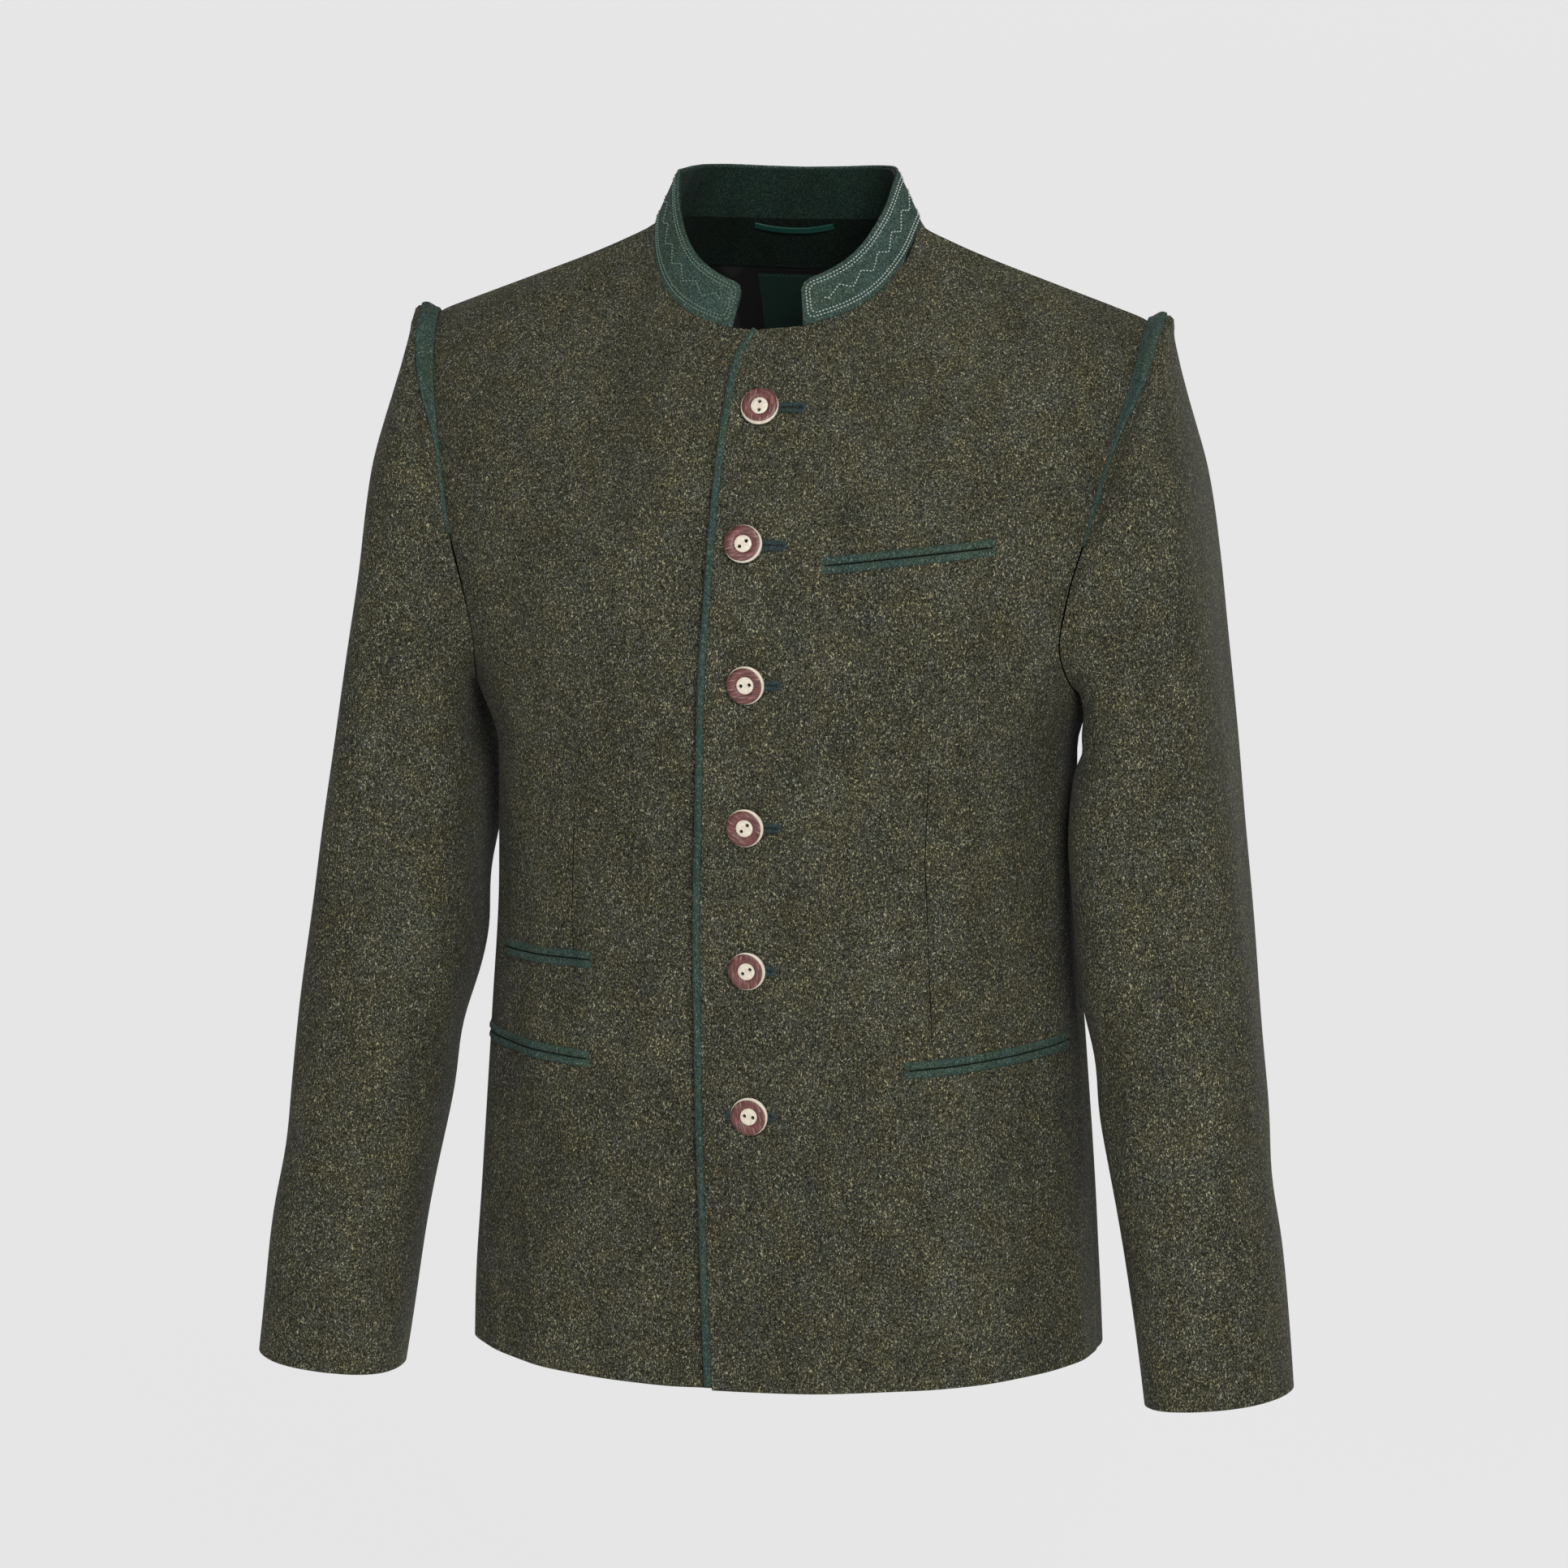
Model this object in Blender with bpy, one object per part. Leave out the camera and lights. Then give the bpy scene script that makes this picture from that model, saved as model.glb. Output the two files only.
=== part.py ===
"""Trachten jacket, hollow as when worn: green stand collar, lapped front with six buttons, welt pockets.

Metres, +Z up, front towards -Y, the wearer's left at +X. The origin is the middle of the neck hole, at the
height of the shoulder seam's inner end. Every cloth piece is a thin wall between two grids of points. A
body panel is drawn on the torso's form in two coordinates: the angle round the torso, 0 at the centre and
90 degrees at the side seam, and the height.
"""
import math

import bmesh
import bpy
import numpy as np
from mathutils import Matrix

CLOTH = 0.0020
SEAM = 0.0003
FELT = 0.0015
LINING = 0.0008
FACING_DEPTH = 0.0006

ROUNDNESS = 2.4
NECK_HALF = 0.083
SHOULDER_TIP = (0.222, 0.008, -0.056)
ARMHOLE_BOTTOM = -0.285
ARMHOLE_MIDDLE = (0.200, 0.000, -0.170)
HEM_CENTRE = -0.702
HEM_SIDE = -0.690
LAP_LIFT = 0.0033
LAP_FULL = 0.034
LAP_END = 0.075
UNDERLAP = 0.028
PIPING_WIDTH = 0.0045
PIPING_REACH = 4.6
PIPING_LIFT = 0.0007
LEAF_WIDTH = 0.0105
COLLAR_RISE = 0.0011
COLLAR_END = {1: 0.025, -1: -0.020}
BUTTON_RADIUS = 0.0115
HOLE_RADIUS = 0.0010
HOLE_SPACING = 0.0052
BUTTONHOLE_LENGTH = 0.029
BUTTONHOLE_HALF = 0.0031
BUTTONHOLE_HEIGHT = 0.0009

PANEL_ROWS = 24
FRONT_COLUMNS = 16
BACK_COLUMNS = 20
NECK_SHARE = 0.42
ARMHOLE_SHARE = 0.42
DEGREE_LENGTH = 0.0028
SLEEVE_ROWS = 20
SLEEVE_COLUMNS = 20
TOP_SLEEVE = (-6, 7)

# height, half width, front depth, back depth of the torso
TORSO = (
    (-0.720, 0.1970, 0.112, 0.125),
    (-0.600, 0.1915, 0.113, 0.118),
    (-0.500, 0.1850, 0.115, 0.106),
    (-0.400, 0.1785, 0.121, 0.098),
    (-0.320, 0.1785, 0.125, 0.108),
    (-0.285, 0.1900, 0.126, 0.113),
    (-0.240, 0.2110, 0.126, 0.116),
    (-0.200, 0.2220, 0.126, 0.118),
    (-0.150, 0.2270, 0.126, 0.118),
    (-0.060, 0.2300, 0.126, 0.117),
    (0.050, 0.2300, 0.126, 0.116),
)
# distance from the centre, height of the shoulder ridge and of its run across the neck hole
RIDGE = (
    (0.000, 0.040),
    (0.030, 0.037),
    (0.055, 0.028),
    (0.072, 0.013),
    (0.083, 0.000),
    (0.100, -0.0088),
    (0.125, -0.0195),
    (0.150, -0.0290),
    (0.222, -0.0560),
    (0.232, -0.0600),
)
# distance from the centre, length of the fall from the ridge, fullness: in front, then behind
FRONT_FALL = (
    (0.000, 0.25, 1.30),
    (0.038, 0.23, 1.22),
    (0.070, 0.21, 1.18),
    (0.100, 0.20, 1.20),
    (0.150, 0.18, 1.40),
    (0.232, 0.13, 1.75),
)
BACK_FALL = (
    (0.000, 0.24, 2.10),
    (0.055, 0.24, 2.15),
    (0.083, 0.22, 2.00),
    (0.150, 0.18, 1.70),
    (0.232, 0.14, 1.80),
)
# distance from the centre, height along the neckline's front half
FRONT_NECK = (
    (0.000, -0.061),
    (0.023, -0.059),
    (0.038, -0.055),
    (0.0555, -0.047),
    (0.069, -0.035),
    (0.079, -0.017),
    (0.083, 0.000),
)
BACK_NECK = (
    (0.000, 0.0000),
    (0.030, 0.0005),
    (0.055, 0.0015),
    (0.074, 0.0020),
    (0.083, 0.0000),
)
# distance from the centre, height along the armhole, shoulder tip first
FRONT_ARMHOLE = (
    (0.222, -0.056),
    (0.218, -0.088),
    (0.208, -0.133),
    (0.197, -0.181),
    (0.1865, -0.220),
    (0.1815, -0.250),
    (0.1845, -0.272),
    (0.1900, -0.285),
)
BACK_ARMHOLE = (
    (0.222, -0.056),
    (0.2165, -0.092),
    (0.2080, -0.140),
    (0.2000, -0.190),
    (0.1945, -0.235),
    (0.1910, -0.265),
    (0.1900, -0.285),
)
# height, place of the lapped front's edge
FRONT_EDGE = (
    (-0.720, -0.0270),
    (-0.600, -0.0310),
    (-0.500, -0.0330),
    (-0.440, -0.0330),
    (-0.330, -0.0300),
    (-0.265, -0.0280),
    (-0.210, -0.0240),
    (-0.130, -0.0210),
    (-0.090, -0.0180),
    (-0.073, -0.0140),
    (-0.061, -0.0060),
)
# way down the sleeve, outer side x and z, inner side x and z, middle y, half depth, roundness
SLEEVE = (
    (0.00, 0.2220, -0.056, 0.1905, -0.285, -0.002, 0.078, 2.6),
    (0.03, 0.2330, -0.059, 0.1915, -0.287, -0.002, 0.080, 2.6),
    (0.07, 0.2395, -0.074, 0.1920, -0.290, -0.001, 0.081, 2.7),
    (0.13, 0.2450, -0.104, 0.1915, -0.296, 0.002, 0.081, 2.8),
    (0.21, 0.2555, -0.150, 0.1900, -0.303, 0.005, 0.080, 3.0),
    (0.29, 0.2625, -0.200, 0.1885, -0.315, 0.005, 0.078, 3.2),
    (0.44, 0.2755, -0.300, 0.1860, -0.352, -0.007, 0.073, 3.2),
    (0.60, 0.2900, -0.410, 0.1880, -0.430, -0.022, 0.066, 2.8),
    (0.74, 0.3025, -0.510, 0.2030, -0.520, -0.038, 0.060, 2.5),
    (0.87, 0.3150, -0.610, 0.2210, -0.616, -0.046, 0.055, 2.3),
    (1.00, 0.3235, -0.699, 0.2340, -0.709, -0.053, 0.050, 2.2),
)
# way down the sleeve, angle round it, depth, half length down, half width in degrees: soft folds
SLEEVE_FOLDS = (
    (0.36, 235, 0.0030, 0.10, 26),
    (0.56, 160, 0.0035, 0.05, 50),
    (0.64, 215, 0.0035, 0.06, 42),
    (0.71, 190, 0.0040, 0.04, 60),
    (0.78, 330, 0.0025, 0.09, 24),
    (0.82, 20, 0.0030, 0.04, 60),
    (0.90, 285, 0.0020, 0.08, 22),
)
# height, angle round the torso, depth, half height, half width in degrees: soft folds of the body
BODY_FOLDS = (
    (-0.46, 58, 0.0025, 0.12, 12),
    (-0.62, 40, -0.0025, 0.12, 12),
    (-0.24, 44, 0.0020, 0.08, 10),
)
# side, upper inner corner's distance and height, outer end's distance and height, of each welt pocket
POCKETS = {
    "chest_pocket": (1, 0.047, -0.1965, 0.147, -0.186),
    "hip_pocket_left": (1, 0.094, -0.503, 0.1815, -0.492),
    "ticket_pocket": (-1, 0.099, -0.4415, 0.167, -0.4425),
    "hip_pocket_right": (-1, 0.101, -0.503, 0.1815, -0.4975),
}
WELT = 0.0048
WELT_SLIT = 0.0007
WELT_HEIGHT = 0.0013
# distance from the centre, height, turn of the two holes in degrees, reach of the buttonhole past the middle
BUTTONS = (
    (0.0037, -0.1066, 90, 0.0270),
    (-0.0005, -0.1860, 40, 0.0260),
    (0.0020, -0.2686, 8, 0.0205),
    (0.0010, -0.3546, 45, 0.0205),
    (0.0010, -0.4420, 30, 0.0165),
    (0.0015, -0.5315, -10, 0.0150),
)


def smooth_table(rows, at):
    """The columns after the first at each value of the first, by a curve that doesn't overshoot its rows."""
    rows = np.asarray(rows, float)
    at = np.asarray(at, float)
    place = rows[:, 0]
    value = rows[:, 1:]
    step = np.diff(place)
    slope = np.diff(value, axis=0) / step[:, None]
    product = slope[:-1] * slope[1:]
    middle = np.where(product > 0, 2 * product / np.where(product > 0, slope[:-1] + slope[1:], 1), 0)
    tangent = np.vstack([slope[:1], middle, slope[-1:]])
    index = np.clip(np.searchsorted(place, at) - 1, 0, len(step) - 1)
    width = step[index][..., None]
    t = np.clip((at - place[index]) / step[index], 0, 1)[..., None]
    low, high = value[index], value[index + 1]
    low_slope, high_slope = tangent[index] * width, tangent[index + 1] * width
    t2, t3 = t * t, t * t * t
    return (
        low * (2 * t3 - 3 * t2 + 1)
        + low_slope * (t3 - 2 * t2 + t)
        + high * (3 * t2 - 2 * t3)
        + high_slope * (t3 - t2)
    )


def smooth_step(t):
    t = np.clip(t, 0, 1)
    return t * t * (3 - 2 * t)


def angle_at(x, z):
    """The angle round the torso of a point that lies this far from the centre at this height."""
    half_width = smooth_table(TORSO, z)[..., 0]
    part = np.clip(np.abs(x) / half_width, 0, 1)
    return np.sign(x) * np.degrees(np.arcsin(part ** (ROUNDNESS / 2)))


def body_fold(angle, z):
    depth = np.zeros(np.broadcast(angle, z).shape)
    for fold_z, fold_angle, fold_depth, half_height, half_width in BODY_FOLDS:
        across = (np.abs(angle) - fold_angle) / half_width
        along = (z - fold_z) / half_height
        depth = depth + fold_depth * np.exp(-across * across - along * along)
    return depth


def torso_point(angle, z, back=False):
    """A point of the torso's form, as an array whose last axis is x, y, z."""
    angle = np.asarray(angle, float)
    z = np.asarray(z, float)
    form = smooth_table(TORSO, z)
    turn = np.radians(np.clip(np.abs(angle), 0, 90))
    power = 2 / ROUNDNESS
    x = form[..., 0] * np.sin(turn) ** power
    depth = form[..., 2 if back else 1] * np.cos(turn) ** power
    below = np.maximum(smooth_table(RIDGE, x)[..., 0] - z, 0)
    fall = smooth_table(BACK_FALL if back else FRONT_FALL, x)
    reach = np.clip(below / fall[..., 0], 0, 1)
    fullness = fall[..., 1]
    rise = (1 - (1 - reach) ** fullness) ** (1 / fullness)
    depth = depth * rise - body_fold(angle, z) * smooth_step(below / 0.1)
    seam_y = SHOULDER_TIP[1] * np.clip((x - NECK_HALF) / (SHOULDER_TIP[0] - NECK_HALF), 0, 1)
    y = seam_y * (1 - rise) + (depth if back else -depth)
    return np.stack([np.sign(angle) * x, y, z], axis=-1)


def along_line(points, count, weights=None):
    """Points at even steps along a line, or at the parts of its length that are asked for."""
    points = np.asarray(points, float)
    lengths = np.concatenate([[0], np.cumsum(np.linalg.norm(np.diff(points, axis=0), axis=1))])
    wanted = np.linspace(0, 1, count) if weights is None else np.asarray(weights)
    parts = lengths / lengths[-1]
    return np.stack([np.interp(wanted, parts, points[:, k]) for k in range(points.shape[1])], axis=-1)


def dense(rows, count=60):
    """A smooth line through a table's rows, with the row's number as its way."""
    rows = np.asarray(rows, float)
    numbered = np.column_stack([np.arange(len(rows)), rows])
    return smooth_table(numbered, np.linspace(0, len(rows) - 1, count))


def on_form(line):
    """A line of distances and heights, as angles round the torso and heights scaled to the same size."""
    return np.column_stack([angle_at(line[:, 0], line[:, 1]), line[:, 1]])


def hem_height(angle):
    return HEM_CENTRE + (HEM_SIDE - HEM_CENTRE) * smooth_step(np.abs(angle) / 90)


def side_boundary(armhole, rows):
    """The armhole from the tip down and then the side seam, in even steps of real length."""
    armhole_rows = round(rows * ARMHOLE_SHARE)
    scale = np.array([DEGREE_LENGTH, 1.0])
    upper = along_line(on_form(dense(armhole)) * scale, armhole_rows + 1) / scale
    heights = np.linspace(ARMHOLE_BOTTOM, HEM_SIDE, rows - armhole_rows + 1)[1:]
    return np.vstack([upper, np.column_stack([np.full(len(heights), 90.0), heights])])


def blended_patch(top, bottom, first, last):
    """A grid between four lines of a plane: rows run from top to bottom, columns from first to last."""
    s = np.linspace(0, 1, len(top))[None, :, None]
    t = np.linspace(0, 1, len(first))[:, None, None]
    corners = (
        (1 - s) * (1 - t) * top[0] + s * (1 - t) * top[-1] + (1 - s) * t * bottom[0] + s * t * bottom[-1]
    )
    return (1 - s) * first[:, None] + s * last[:, None] + (1 - t) * top[None] + t * bottom[None] - corners


def panel_top(neck, columns, neck_columns):
    """The neckline and then the shoulder seam, as angles and heights."""
    tip = np.array([SHOULDER_TIP[0], SHOULDER_TIP[2]])
    neck_part = along_line(neck, neck_columns + 1)
    x = np.linspace(NECK_HALF, tip[0], columns - neck_columns + 1)[1:]
    shoulder = np.column_stack([x, smooth_table(RIDGE, x)[:, 0]])
    return on_form(np.vstack([neck_part, shoulder]))


def front_plan(edge, rows, columns):
    """The plan of a front: angles and heights of its grid. The edge gives the distance from the centre at a height."""
    neck_columns = round(columns * NECK_SHARE)
    start = edge(np.array([FRONT_NECK[0][1]]))[0]
    neck = dense(FRONT_NECK)
    if start < 0:
        across = np.linspace(start, 0, 6)[:-1]
        neck = np.vstack([np.column_stack([across, np.full(5, FRONT_NECK[0][1])]), neck])
    else:
        neck = neck[neck[:, 0] >= start]
    top = panel_top(neck, columns, neck_columns)
    last = side_boundary(FRONT_ARMHOLE, rows)
    heights = np.concatenate([[neck[0, 1]], np.linspace(neck[0, 1], HEM_CENTRE, rows + 1)[1:]])
    first = on_form(np.column_stack([edge(heights), heights]))
    ends = np.linspace(first[-1, 0], 90, columns + 1)
    bottom = np.column_stack([ends, hem_height(ends)])
    return blended_patch(top, bottom, first, last)


def back_plan(rows, columns):
    """The plan of the back's left half."""
    neck_columns = round(columns * NECK_SHARE)
    top = panel_top(dense(BACK_NECK), columns, neck_columns)
    last = side_boundary(BACK_ARMHOLE, rows)
    heights = np.linspace(BACK_NECK[0][1], HEM_CENTRE, rows + 1)
    first = np.column_stack([np.zeros(rows + 1), heights])
    ends = np.linspace(0, 90, columns + 1)
    bottom = np.column_stack([ends, hem_height(ends)])
    return blended_patch(top, bottom, first, last)


def lap_lift(x):
    """How far the lapped left front stands off the right front below it."""
    return LAP_LIFT * smooth_step((LAP_END - x) / (LAP_END - LAP_FULL))


def left_edge(z):
    return smooth_table(FRONT_EDGE, z)[..., 0]


def cloth_edge(z):
    """The left front's cloth stops where its piping starts."""
    return left_edge(z) + PIPING_WIDTH + SEAM


def right_edge(z):
    return np.full(np.shape(z), -UNDERLAP)


def normals_of(grid, wraps=False):
    """Unit normals of a grid of points. A grid that wraps is closed along its columns."""
    if wraps:
        padded = np.concatenate([grid[:, -1:], grid, grid[:, :1]], axis=1)
        across = np.gradient(padded, axis=1)[:, 1:-1]
    else:
        across = np.gradient(grid, axis=1)
    down = np.gradient(grid, axis=0)
    normal = np.cross(down, across)
    return normal / np.maximum(np.linalg.norm(normal, axis=-1, keepdims=True), 1e-12)


def flattened(normal, drop):
    normal = normal.copy()
    normal[..., drop] = 0
    return normal / np.linalg.norm(normal, axis=-1, keepdims=True)


def drawn_in(grid, edges, gap=SEAM / 2):
    """The grid with the named edges moved in by half of a seam's gap."""
    grid = grid.copy()
    pairs = {
        "top": ((0, slice(None)), (1, slice(None))),
        "bottom": ((-1, slice(None)), (-2, slice(None))),
        "first": ((slice(None), 0), (slice(None), 1)),
        "last": ((slice(None), -1), (slice(None), -2)),
    }
    for edge in edges:
        here, inside = pairs[edge]
        way = grid[inside] - grid[here]
        grid[here] = grid[here] + way / np.linalg.norm(way, axis=-1, keepdims=True) * gap
    return grid


def material(name, colour, roughness):
    made = bpy.data.materials.new(name)
    made.use_nodes = True
    shader = made.node_tree.nodes["Principled BSDF"]
    shader.inputs["Base Color"].default_value = (*colour, 1)
    shader.inputs["Roughness"].default_value = roughness
    shader.inputs["Metallic"].default_value = 0
    return made


def solid(name, points, faces, finish):
    """A closed object from points and faces, with its faces turned outwards."""
    mesh = bpy.data.meshes.new(name)
    mesh.from_pydata([tuple(p) for p in points], [], [tuple(int(i) for i in f) for f in faces])
    work = bmesh.new()
    work.from_mesh(mesh)
    bmesh.ops.recalc_face_normals(work, faces=work.faces)
    work.to_mesh(mesh)
    work.free()
    mesh.shade_smooth()
    mesh.set_sharp_from_angle(angle=math.radians(40))
    mesh.materials.append(finish)
    made = bpy.data.objects.new(name, mesh)
    bpy.context.scene.collection.objects.link(made)
    return made


def wall(name, outer, inner, finish, flip=False):
    """A thin closed wall between two grids of the same shape."""
    rows, columns = outer.shape[:2]
    number = np.arange(rows * columns).reshape(rows, columns)
    back = number + rows * columns
    faces = []
    for j in range(rows - 1):
        for i in range(columns - 1):
            a, b, c, d = number[j, i], number[j, i + 1], number[j + 1, i + 1], number[j + 1, i]
            faces.append((a, b, c, d))
            a, b, c, d = back[j, i], back[j, i + 1], back[j + 1, i + 1], back[j + 1, i]
            faces.append((a, d, c, b))
    rim = list(number[0]) + list(number[1:, -1]) + list(number[-1, -2::-1]) + list(number[-2:0:-1, 0])
    for a, b in zip(rim, rim[1:] + rim[:1]):
        faces.append((a, b, b + rows * columns, a + rows * columns))
    if flip:
        faces = [face[::-1] for face in faces]
    points = np.vstack([outer.reshape(-1, 3), inner.reshape(-1, 3)])
    return solid(name, points, faces, finish)


def ribbon(name, centre, normal, half_width, base, height, finish, round_sides=True):
    """A raised strip along a line: half_width is one value or one a point, base its height off the line."""
    centre = np.asarray(centre, float)
    normal = np.asarray(normal, float)
    half = np.broadcast_to(half_width, len(centre))[:, None]
    way = np.gradient(centre, axis=0)
    side = np.cross(way, normal)
    side = side / np.linalg.norm(side, axis=1, keepdims=True)
    shoulder = 0.55 if round_sides else 1.0
    profile = ((-1, 0.0), (-1, 0.45), (-shoulder, 1.0), (shoulder, 1.0), (1, 0.45), (1, 0.0))
    rings = [centre + side * half * s + normal * (base + height * h) for s, h in profile]
    points = np.stack(rings, axis=1).reshape(-1, 3)
    size = len(profile)
    faces = [tuple(range(size)), tuple(range((len(centre) - 1) * size, len(centre) * size))[::-1]]
    for j in range(len(centre) - 1):
        for k in range(size):
            a, b = j * size + k, j * size + (k + 1) % size
            faces.append((b, a, a + size, b + size))
    return solid(name, points, faces, finish)


def front_surface(x, z, side):
    """Point and outward normal on the left (1) or right (-1) front, at a distance and a height."""
    x = np.asarray(x, float)
    z = np.asarray(z, float)
    step = 0.0005
    spot = torso_point(angle_at(x, z), z)
    across = torso_point(angle_at(x + step, z), z) - torso_point(angle_at(x - step, z), z)
    down = torso_point(angle_at(x, z - step), z - step) - torso_point(angle_at(x, z + step), z + step)
    normal = np.cross(down, across)
    normal = normal / np.linalg.norm(normal, axis=-1, keepdims=True)
    normal = normal * np.where(normal[..., 1:2] > 0, -1, 1)
    lift = lap_lift(x) if side > 0 else np.zeros(x.shape)
    return spot + normal * lift[..., None], normal


def front_grid(side):
    """A front's outer points and normals. The right front's are given as on the left side."""
    plan = front_plan(cloth_edge if side > 0 else right_edge, PANEL_ROWS, FRONT_COLUMNS)
    grid = torso_point(plan[..., 0], plan[..., 1])
    normal = normals_of(grid)
    normal = normal * np.sign(-normal[PANEL_ROWS // 2, 3, 1])
    neck_columns = round(FRONT_COLUMNS * NECK_SHARE)
    low = round(PANEL_ROWS * ARMHOLE_SHARE)
    normal[0, neck_columns:] = flattened(normal[0, neck_columns:], 1)
    normal[low:, -1] = flattened(normal[low:, -1], 1)
    if side > 0:
        grid = grid + normal * lap_lift(grid[..., 0])[..., None]
    return drawn_in(grid, ("top", "last")), normal


def front_panel(side, finish):
    """One front: the left one laps over the right one at the centre."""
    outer, normal = front_grid(side)
    inner = outer - normal * CLOTH
    mirror = np.array([side, 1, 1])
    wall("front_left" if side > 0 else "front_right", outer * mirror, inner * mirror, finish)


def back_grid():
    """The back's outer points and normals, from its right side to its left side."""
    half = back_plan(PANEL_ROWS, BACK_COLUMNS // 2)
    grid = torso_point(half[..., 0], half[..., 1], back=True)
    mirror = np.array([-1, 1, 1])
    grid = np.concatenate([grid[:, :0:-1] * mirror, grid], axis=1)
    normal = normals_of(grid)
    normal = normal * np.sign(normal[PANEL_ROWS // 2, BACK_COLUMNS // 2, 1])
    neck_columns = round(BACK_COLUMNS // 2 * NECK_SHARE)
    middle = BACK_COLUMNS // 2
    for columns in (slice(0, middle - neck_columns + 1), slice(middle + neck_columns, None)):
        normal[0, columns] = flattened(normal[0, columns], 1)
    low = round(PANEL_ROWS * ARMHOLE_SHARE)
    for column in (0, -1):
        normal[low:, column] = flattened(normal[low:, column], 1)
    return drawn_in(grid, ("top", "first", "last")), normal


def armhole_line(armhole, back):
    """The panels' own points along the armhole, from the shoulder tip to its bottom, moved clear of them."""
    line = side_boundary(armhole, PANEL_ROWS)[: round(PANEL_ROWS * ARMHOLE_SHARE) + 1]
    points = torso_point(line[:, 0], line[:, 1], back)
    points[-1, 1] = 0
    inward = ARMHOLE_MIDDLE - points
    inward[:, 0] = 0
    inward = inward / np.linalg.norm(inward, axis=1, keepdims=True)
    return points + inward * 0.0004 + np.array([0.0004, 0, 0])


def sleeve_grid(rows, columns):
    """The left sleeve's outer points: a row for each ring, a column for each angle from the outer side round the back."""
    behind = armhole_line(BACK_ARMHOLE, True)
    before = armhole_line(FRONT_ARMHOLE, False)
    armhole = np.vstack([behind, before[-2:0:-1]])
    way = np.linspace(0, 1, rows + 1) ** 1.15
    turn = np.radians(np.linspace(0, 360, columns, endpoint=False))
    form = smooth_table(SLEEVE, way)
    outer_x, outer_z, inner_x, inner_z, middle_y, half_depth, roundness = (form[:, k, None] for k in range(7))
    power = 2 / roundness
    across = np.sign(np.cos(turn)) * np.abs(np.cos(turn)) ** power
    round_y = np.sign(np.sin(turn)) * np.abs(np.sin(turn)) ** power
    x = (outer_x + inner_x) / 2 + (outer_x - inner_x) / 2 * across
    z = (outer_z + inner_z) / 2 + (outer_z - inner_z) / 2 * across
    y = middle_y + half_depth * round_y
    fold = np.zeros(x.shape)
    for fold_way, fold_angle, depth, half_length, half_width in SLEEVE_FOLDS:
        turned = (np.degrees(turn)[None, :] - fold_angle + 180) % 360 - 180
        fold = fold + depth * np.exp(-((turned / half_width) ** 2) - ((way[:, None] - fold_way) / half_length) ** 2)
    x = x - fold * np.cos(turn)
    y = y - fold * np.sin(turn)
    grid = np.stack([x, y, z], axis=-1)
    join = smooth_step(way / 0.20)[:, None, None]
    grid = armhole[None] * (1 - join) + grid * join
    reach = np.clip(way[:, None] / 0.03, 0, 1)
    cap = np.clip(np.cos(turn), 0, 1)[None, :] ** 0.7
    bulge = reach * (1 - join[..., 0]) * cap
    grid[..., 0] += bulge * 0.012
    return clear_of_torso(grid)


def clear_of_torso(grid, gap=0.0022):
    """Moves points that would lie in the torso out to its side."""
    form = smooth_table(TORSO, grid[..., 2])
    depth = np.where(grid[..., 1] < 0, form[..., 1], form[..., 2])
    part = np.clip(np.abs(grid[..., 1]) / depth, 0, 1)
    side = form[..., 0] * (1 - part**ROUNDNESS) ** (1 / ROUNDNESS)
    least = np.where(grid[..., 2] < ARMHOLE_BOTTOM - 0.002, side + gap, -1)
    grid = grid.copy()
    grid[1:, :, 0] = np.maximum(grid[1:, :, 0], least[1:])
    return grid


def sleeve(side, finish):
    """The top sleeve and the under sleeve of one side, parted by seams in front and behind."""
    grid = sleeve_grid(SLEEVE_ROWS, SLEEVE_COLUMNS)
    normal = normals_of(grid, wraps=True)
    normal = normal * np.sign(normal[SLEEVE_ROWS // 2, 0, 0])
    inner = grid - normal * CLOTH
    mirror = np.array([side, 1, 1])
    side_name = "left" if side > 0 else "right"
    first, last = TOP_SLEEVE
    parts = {
        "sleeve_top_": np.arange(first, last + 1) % SLEEVE_COLUMNS,
        "sleeve_under_": np.arange(last, SLEEVE_COLUMNS + first + 1) % SLEEVE_COLUMNS,
    }
    for name, columns in parts.items():
        outside = drawn_in(grid[:, columns], ("first", "last")) * mirror
        inside = drawn_in(inner[:, columns], ("first", "last")) * mirror
        wall(name + side_name, outside, inside, finish)
    return grid, normal


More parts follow.
